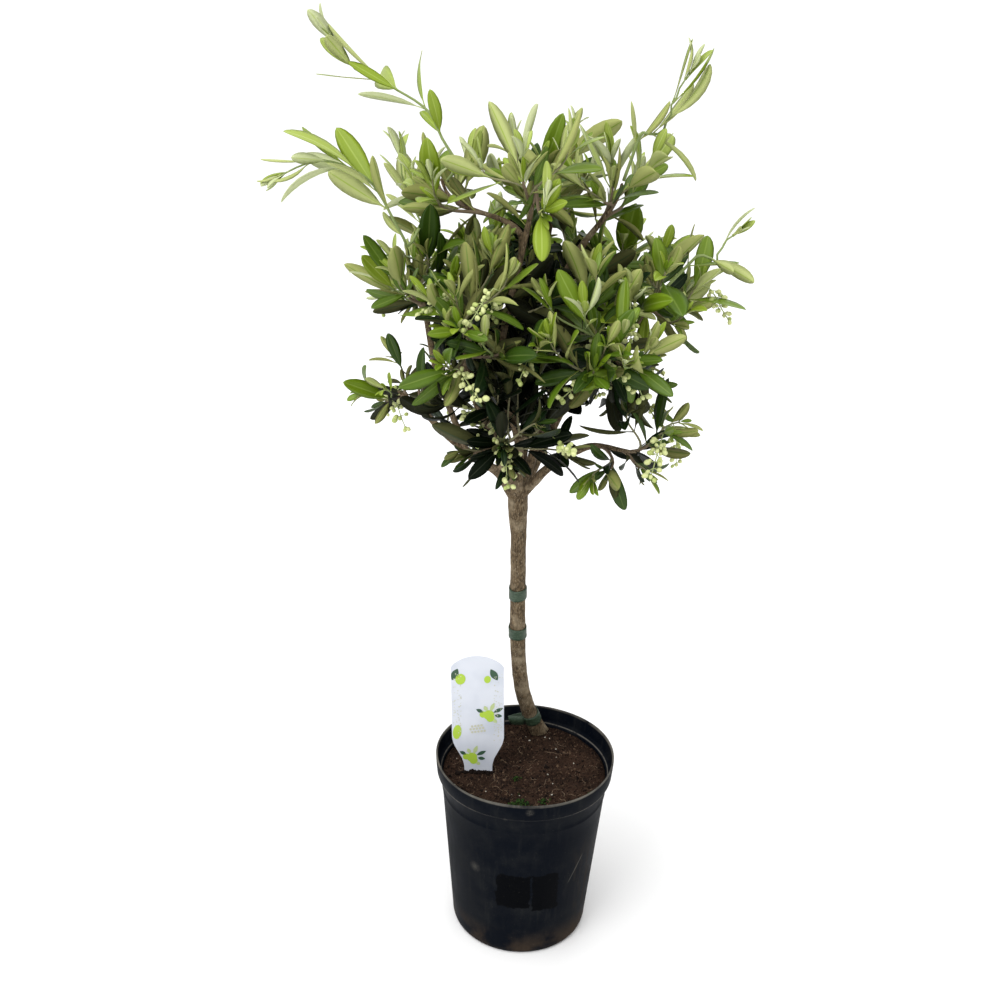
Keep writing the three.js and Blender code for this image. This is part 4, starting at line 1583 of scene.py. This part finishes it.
    def _tufts(self) -> None:
        """Grows the moss: dense clumps of leafy lumps."""
        small = ball_arrays(1)
        for x, y, spread, count in self.moss:
            for _ in range(count):
                dx, dy = self.random.normal(scale=spread * 0.45, size=2)
                crown = max(0.0, 1 - math.hypot(dx, dy) / spread)
                level = self.level + self.height(x + dx, y + dy)
                place = np.array([x + dx, y + dy, level + crown * 3.5 * MM])
                size = self.random.uniform(0.5, 1.2) * MM
                self._lump(small, place, np.array([size, size * 0.6, size * 1.5]),
                           5 + int(self.random.random() < 0.4))

    def build(self) -> None:
        """Makes the bed and everything that lies on it."""
        publish("soil_bed", self._bed(), [PottingSoil().make()], ["soil"])
        self._scatter()
        self._fibres()
        self._tufts()
        publish("soil_crumbs", self.bits.mesh(), [bit.make() for bit in SOIL_BITS],
                smooth=False)


# ---------------------------------------------------------------------------
# the plant tag
# ---------------------------------------------------------------------------

PRINTS = (
    PlainFinish("print_lime", (0.36, 0.52, 0.05), 0.4),
    PlainFinish("print_leaf", (0.035, 0.08, 0.045), 0.4),
    PlainFinish("print_pale", (0.42, 0.5, 0.24), 0.4),
    PlainFinish("print_stone", (0.5, 0.5, 0.38), 0.45),
)


@dataclass
class PlantTag:
    """The white tag pushed into the soil, arched on top, with plain fruit and leaf prints."""

    width: float = 55 * MM
    foot_width: float = 30 * MM
    stem: float = 15 * MM
    taper: float = 22 * MM
    side: float = 91 * MM
    arch: float = 14 * MM
    thickness: float = 0.7 * MM
    lean: float = math.radians(-1.8)
    print_lift: float = 0.09 * MM
    seed: int = 5

    def __post_init__(self) -> None:
        """Finds the tag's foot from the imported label."""
        points, _ = node_arrays("label")
        low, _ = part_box("label")
        foot = points[points[:, 2] < low.z + 3 * MM].mean(axis=0)
        self.place = Matrix.Translation((foot[0], low.y, low.z)) @ Matrix.Rotation(self.lean, 4, "Y")
        self.random = np.random.default_rng(self.seed)

    def _card(self) -> bpy.types.Mesh:
        """The plate: its outline extruded, cut into strips so that it can bow, and softened."""
        waist = self.stem + self.taper
        shoulder = waist + self.side
        half, foot = self.width / 2, self.foot_width / 2
        top = [(half * share, shoulder + self.arch * (1 - share * share) ** 0.8)
               for share in np.linspace(1.0, -1.0, 21)]
        shape = bmesh.new()
        outline = [(-foot, 0.0), (foot, 0.0), (foot, self.stem * 0.8), (half, waist), *top, (-half, waist),
                   (-foot, self.stem * 0.8)]
        card = shape.faces.new([shape.verts.new((u, 0.0, v)) for u, v in outline])
        grown = bmesh.ops.extrude_face_region(shape, geom=[card])["geom"]
        back = [part for part in grown if isinstance(part, bmesh.types.BMVert)]
        bmesh.ops.translate(shape, vec=(0, self.thickness, 0), verts=back)
        bmesh.ops.recalc_face_normals(shape, faces=shape.faces)
        corners = [edge for edge in shape.edges
                   if abs((edge.verts[0].co - edge.verts[1].co).y) > self.thickness / 2
                   and 0 < edge.verts[0].co.z < waist + 1 * MM]
        bmesh.ops.bevel(shape, geom=corners, offset=7 * MM, affect="EDGES", segments=6,
                        profile=0.5, material=-1)
        soften(shape, 0.12 * MM, 60, 1)
        for cut in np.linspace(-half, half, 13)[1:-1]:
            bmesh.ops.bisect_plane(shape, geom=[*shape.verts, *shape.edges, *shape.faces],
                                   plane_co=(cut, 0, 0), plane_no=(1, 0, 0))
        return self._settle(shape)

    def _settle(self, shape: bmesh.types.BMesh) -> bpy.types.Mesh:
        """Bows the card a little and stands it in its place."""
        for vert in shape.verts:
            u, v = vert.co.x / (self.width / 2), vert.co.z / (self.side + self.taper)
            vert.co.y += 1.1 * MM * u * u + 0.8 * MM * v * v - 0.5 * MM
        bmesh.ops.transform(shape, matrix=self.place, verts=shape.verts)
        return mesh_of(shape)

    def _blot(self, shape: bmesh.types.BMesh, u: float, v: float, wide: float, tall: float,
              turn: float, slot: int, pointed: float = 0.0) -> None:
        """One raised print: an oval, or a leaf when it is pointed.

        Args:
            shape: what it is added to.
            u: place across the card, as a share of its half width.
            v: place above the card's foot.
            wide: width.
            tall: height.
            turn: lean in degrees, to the right.
            slot: number of its finish.
            pointed: how much its ends narrow, from 0 to 1.
        """
        ring = bmesh.ops.create_circle(shape, cap_ends=True, radius=1.0, segments=20)["verts"]
        for vert in ring:
            across, along = vert.co.x, vert.co.y
            across *= 1 - pointed * along * along
            vert.co = Vector((across * wide / 2, -self.print_lift, along * tall / 2))
        turned_by = Matrix.Rotation(math.radians(turn), 4, "Y")
        moved = Matrix.Translation((u * self.width / 2, 0, v)) @ turned_by
        bmesh.ops.transform(shape, matrix=moved, verts=ring)
        face = next(face for face in ring[0].link_faces)
        face.material_index = slot
        grown = bmesh.ops.extrude_face_region(shape, geom=[face], use_keep_orig=True)["geom"]
        back = [part for part in grown if isinstance(part, bmesh.types.BMVert)]
        bmesh.ops.translate(shape, vec=(0, self.print_lift * 1.5, 0), verts=back)

    def _sprig(self, shape: bmesh.types.BMesh, u: float, v: float, size: float) -> None:
        """A cluster of fruit with leaves round it."""
        half = self.width / 2
        for turn, reach, long, slot in ((62, 0.95, 0.85, 1), (98, 0.85, 0.6, 1), (-62, 0.9, 0.6, 1),
                                        (22, 0.85, 0.85, 2), (-22, 0.7, 0.5, 2), (140, 0.85, 0.4, 2)):
            lean = math.radians(turn)
            self._blot(shape, u + math.sin(lean) * reach * size / half, v + math.cos(lean) * reach * size,
                       0.36 * size, 1.1 * long * size, turn, slot, 0.7)
        for across, along, wide in ((0, 0, 0.9), (-0.5, 0.05, 0.6), (0.15, -0.35, 0.7)):
            self._blot(shape, u + across * size / half, v + along * size, wide * size,
                       wide * size * 1.1, 30, 0)

    def _prints(self) -> bpy.types.Mesh:
        """All prints on the card's face."""
        shape = bmesh.new()
        shoulder = self.stem + self.taper + self.side
        for u, lean, wide in ((-0.64, 14, 10.5 * MM), (0.38, 8, 7 * MM)):
            self._blot(shape, u, shoulder - 14 * MM, wide, wide * 1.25, lean, 0)
            self._blot(shape, u + (0.25 if u > 0 else -0.21), shoulder - 8.5 * MM, 7.5 * MM, 15 * MM,
                       -28 if u > 0 else 24, 1, 0.6)
        self._blot(shape, -0.8, self.stem + self.taper + 12 * MM, 9 * MM, 18 * MM, 8, 0)
        self._sprig(shape, 0.42, self.stem + self.taper + 34 * MM, 12 * MM)
        self._sprig(shape, -0.24, self.stem + 3 * MM, 12 * MM)
        for index in range(14):
            column, row = index % 5 - 2, index // 5 - 1
            self._blot(shape, -0.04 + column * 0.12 + 0.06 * (row % 2),
                       self.stem + self.taper + 17 * MM + row * 3.6 * MM + column * 0.5 * MM,
                       2.5 * MM, 2.7 * MM, 0, 3)
        for _ in range(150):
            edge = self.random.choice((-1, 1)) * self.random.uniform(0.62, 0.95)
            size = self.random.uniform(0.5, 1.2) * MM
            height = self.stem + self.taper + self.random.uniform(2, 84) * MM
            self._blot(shape, edge, height, size, size, 0, 3)
        bmesh.ops.recalc_face_normals(shape, faces=shape.faces)
        return self._settle(shape)

    def build(self) -> None:
        """Makes the card and its prints."""
        card = publish("plant_tag", self._card(), [TagCard().make()], ["label"])
        card.data.set_sharp_from_angle(angle=math.radians(35))
        publish("plant_tag_prints", self._prints(), [print_.make() for print_ in PRINTS],
                smooth=False)


# ---------------------------------------------------------------------------
# the ties
# ---------------------------------------------------------------------------

@dataclass
class TapeTies:
    """Bands of green stretch tape round the stem, the lowest with a folded tail."""

    stem: Line
    width: float = 13 * MM
    thickness: float = 0.8 * MM
    slack: float = 0.75 * MM
    sides: int = 56
    rows: int = 7
    tail_length: float = 21 * MM
    tail_heading: float = math.radians(196)

    def _band(self, node: str) -> bmesh.types.BMesh:
        """A band round the stem at a packed tie's height."""
        low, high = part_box(node)
        middle = (low.z + high.z) / 2
        heights = self.stem.points[:, 2]
        share = float(np.interp(middle, heights, np.linspace(0, 1, len(heights))))
        run, centre = self.stem.heading(share), self.stem.at(share)
        centre = centre + run * (middle - centre[2]) / run[2]
        radius = float(self.stem.radius_at(share)) + self.slack
        shape = bmesh.new()
        ring = bmesh.ops.create_circle(shape, cap_ends=False, radius=radius, segments=self.sides)["verts"]
        bmesh.ops.translate(shape, vec=(0, 0, -self.width / 2), verts=ring)
        edges = list(shape.edges)
        for _ in range(self.rows - 1):
            grown = bmesh.ops.extrude_edge_only(shape, edges=edges)["geom"]
            lifted = {part for part in grown if isinstance(part, bmesh.types.BMVert)}
            edges = [part for part in grown if isinstance(part, bmesh.types.BMEdge)
                     and lifted.issuperset(part.verts)]
            bmesh.ops.translate(shape, vec=(0, 0, self.width / (self.rows - 1)), verts=list(lifted))
        for vert in shape.verts:
            turn = math.atan2(vert.co.y, vert.co.x)
            fold = noise.noise(Vector((turn * 1.6, vert.co.z * 420, low.z * 50)))
            lap = 0.5 * MM * (1.4 < turn < 2.6)
            stretch = 1 + (0.35 * MM * fold + lap) / radius
            vert.co.x *= stretch
            vert.co.y *= stretch
            vert.co.z += 0.5 * MM * math.sin(2 * turn + low.z * 90)
        bmesh.ops.recalc_face_normals(shape, faces=shape.faces)
        bmesh.ops.solidify(shape, geom=shape.faces, thickness=-self.thickness)
        bmesh.ops.recalc_face_normals(shape, faces=shape.faces)
        lean = UP_VECTOR.rotation_difference(Vector(run)).to_matrix().to_4x4()
        bmesh.ops.transform(shape, matrix=Matrix.Translation(centre) @ lean, verts=shape.verts)
        return shape

    def _tail(self, shape: bmesh.types.BMesh, node: str) -> None:
        """A strip that leaves the band, folds over and comes back to it."""
        low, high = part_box(node)
        middle = (low.z + high.z) / 2
        share = float(np.interp(middle, self.stem.points[:, 2], np.linspace(0, 1, len(self.stem.points))))
        centre = Vector(self.stem.at(share))
        out = Vector((math.cos(self.tail_heading), math.sin(self.tail_heading), 0))
        aside = Vector((-out.y, out.x, 0))
        radius = float(self.stem.radius_at(share))
        course = []
        for turn in np.linspace(-0.95, 0.95, 19) * math.pi:
            far = radius * 0.7 + self.tail_length * (0.5 + 0.5 * math.cos(turn)) * 0.98
            wide = 3.4 * MM * math.sin(turn) * (1.35 - 0.6 * math.cos(turn))
            course.append((centre + out * far + aside * wide, turn))
        edge = None
        for place, turn in course:
            tilt = 0.32 * math.cos(turn * 0.8 + 0.5)
            up = (Vector((0, 0, 1)) * math.cos(tilt) + out * math.sin(tilt)) * 5.2 * MM
            pair = [shape.verts.new(place + up + Vector((0, 0, 1.2 * MM * math.sin(turn)))),
                    shape.verts.new(place - up)]
            if edge:
                strip.append(shape.faces.new([edge[0], edge[1], pair[1], pair[0]]))
            else:
                strip = []
            edge = pair
        bmesh.ops.recalc_face_normals(shape, faces=strip)
        bmesh.ops.solidify(shape, geom=strip, thickness=0.6 * MM)

    def build(self) -> None:
        """Makes the bands."""
        finish = TieTape().make()
        for node in sorted(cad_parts):
            if not node.startswith("tie_"):
                continue
            shape = self._band(node)
            if node == "tie_base":
                self._tail(shape, node)
            publish(node.replace("tie", "tape"), mesh_of(shape), [finish], [node])


# ---------------------------------------------------------------------------
# the studio
# ---------------------------------------------------------------------------

@dataclass
class Studio:
    """A pale floor, soft lights and the camera."""

    floor_size: float = 160.0
    camera_place: tuple[float, float, float] = (-0.0355, -1.2, 1.05)
    pitch: float = math.radians(24.36)
    roll: float = math.radians(1.85)
    lens: float = 48.42

    def _floor(self) -> None:
        """The plain floor that the pot stands on."""
        shape = bmesh.new()
        bmesh.ops.create_grid(shape, x_segments=1, y_segments=1, size=self.floor_size / 2)
        mesh = mesh_of(shape)
        mesh.materials.append(StudioFloor().make())
        floor = bpy.data.objects.new("floor", mesh)
        bpy.context.scene.collection.objects.link(floor)

    def _lamp(self, name: str, place: Sequence[float], size: float, power: float) -> None:
        """A soft square light that faces the crown."""
        light = bpy.data.lights.new(name, "AREA")
        light.shape = "SQUARE"
        light.size = size
        light.energy = power
        lamp = bpy.data.objects.new(name, light)
        lamp.location = place
        aim = Vector((0, 0, 0.6)) - Vector(place)
        lamp.rotation_euler = aim.to_track_quat("-Z", "Y").to_euler()
        bpy.context.scene.collection.objects.link(lamp)

    def _sun(self) -> None:
        """A very soft light from the whole sky above, a little from the left and the front."""
        light = bpy.data.lights.new("sky", "SUN")
        light.energy = 2.3
        light.angle = math.radians(65)
        sun = bpy.data.objects.new("sky", light)
        sun.rotation_euler = Vector((0.28, 0.32, -1)).to_track_quat("-Z", "Y").to_euler()
        bpy.context.scene.collection.objects.link(sun)

    def _camera(self) -> None:
        """The camera, level with the crown's top and looking down a little."""
        forward = Vector((0, math.cos(self.pitch), -math.sin(self.pitch)))
        right = Vector((1, 0, 0))
        up = right.cross(forward)
        side = right * math.cos(self.roll) + up * math.sin(self.roll)
        top = up * math.cos(self.roll) - right * math.sin(self.roll)
        data = bpy.data.cameras.new("camera")
        data.lens = self.lens
        data.sensor_width = 36.0
        camera = bpy.data.objects.new("camera", data)
        turn = Matrix((side, top, -forward)).transposed().to_4x4()
        camera.matrix_world = Matrix.Translation(self.camera_place) @ turn
        bpy.context.scene.collection.objects.link(camera)
        bpy.context.scene.camera = camera

    def build(self) -> None:
        """Sets the scene."""
        self._camera()
        self._floor()
        self._sun()
        self._lamp("key", (-1.5, -1.9, 2.3), 1.4, 26)
        self._lamp("fill", (2.2, -1.6, 1.4), 2.0, 8)
        self._lamp("back", (0.4, 2.3, 2.2), 1.8, 16)
        world = bpy.data.worlds.new("studio")
        world.use_nodes = True
        world.node_tree.nodes["Background"].inputs["Color"].default_value = (1.0, 1.0, 1.0, 1.0)
        world.node_tree.nodes["Background"].inputs["Strength"].default_value = 0.75
        bpy.context.scene.world = world
        bpy.context.scene.view_settings.view_transform = "Standard"


def main() -> None:
    """Builds the tree from its wood out to its leaves, then pot, soil, tag, ties and studio."""
    logging.basicConfig(level=logging.INFO, format="%(name)s: %(message)s")
    timber = Timber()
    crown = Crown(timber)
    crown.grow()
    timber.build(crown.inner)
    crown.build()
    NurseryPot().build()
    SoilBed().build()
    PlantTag().build()
    TapeTies(timber.trunk).build()
    Studio().build()


if __name__ == "__main__":
    main()
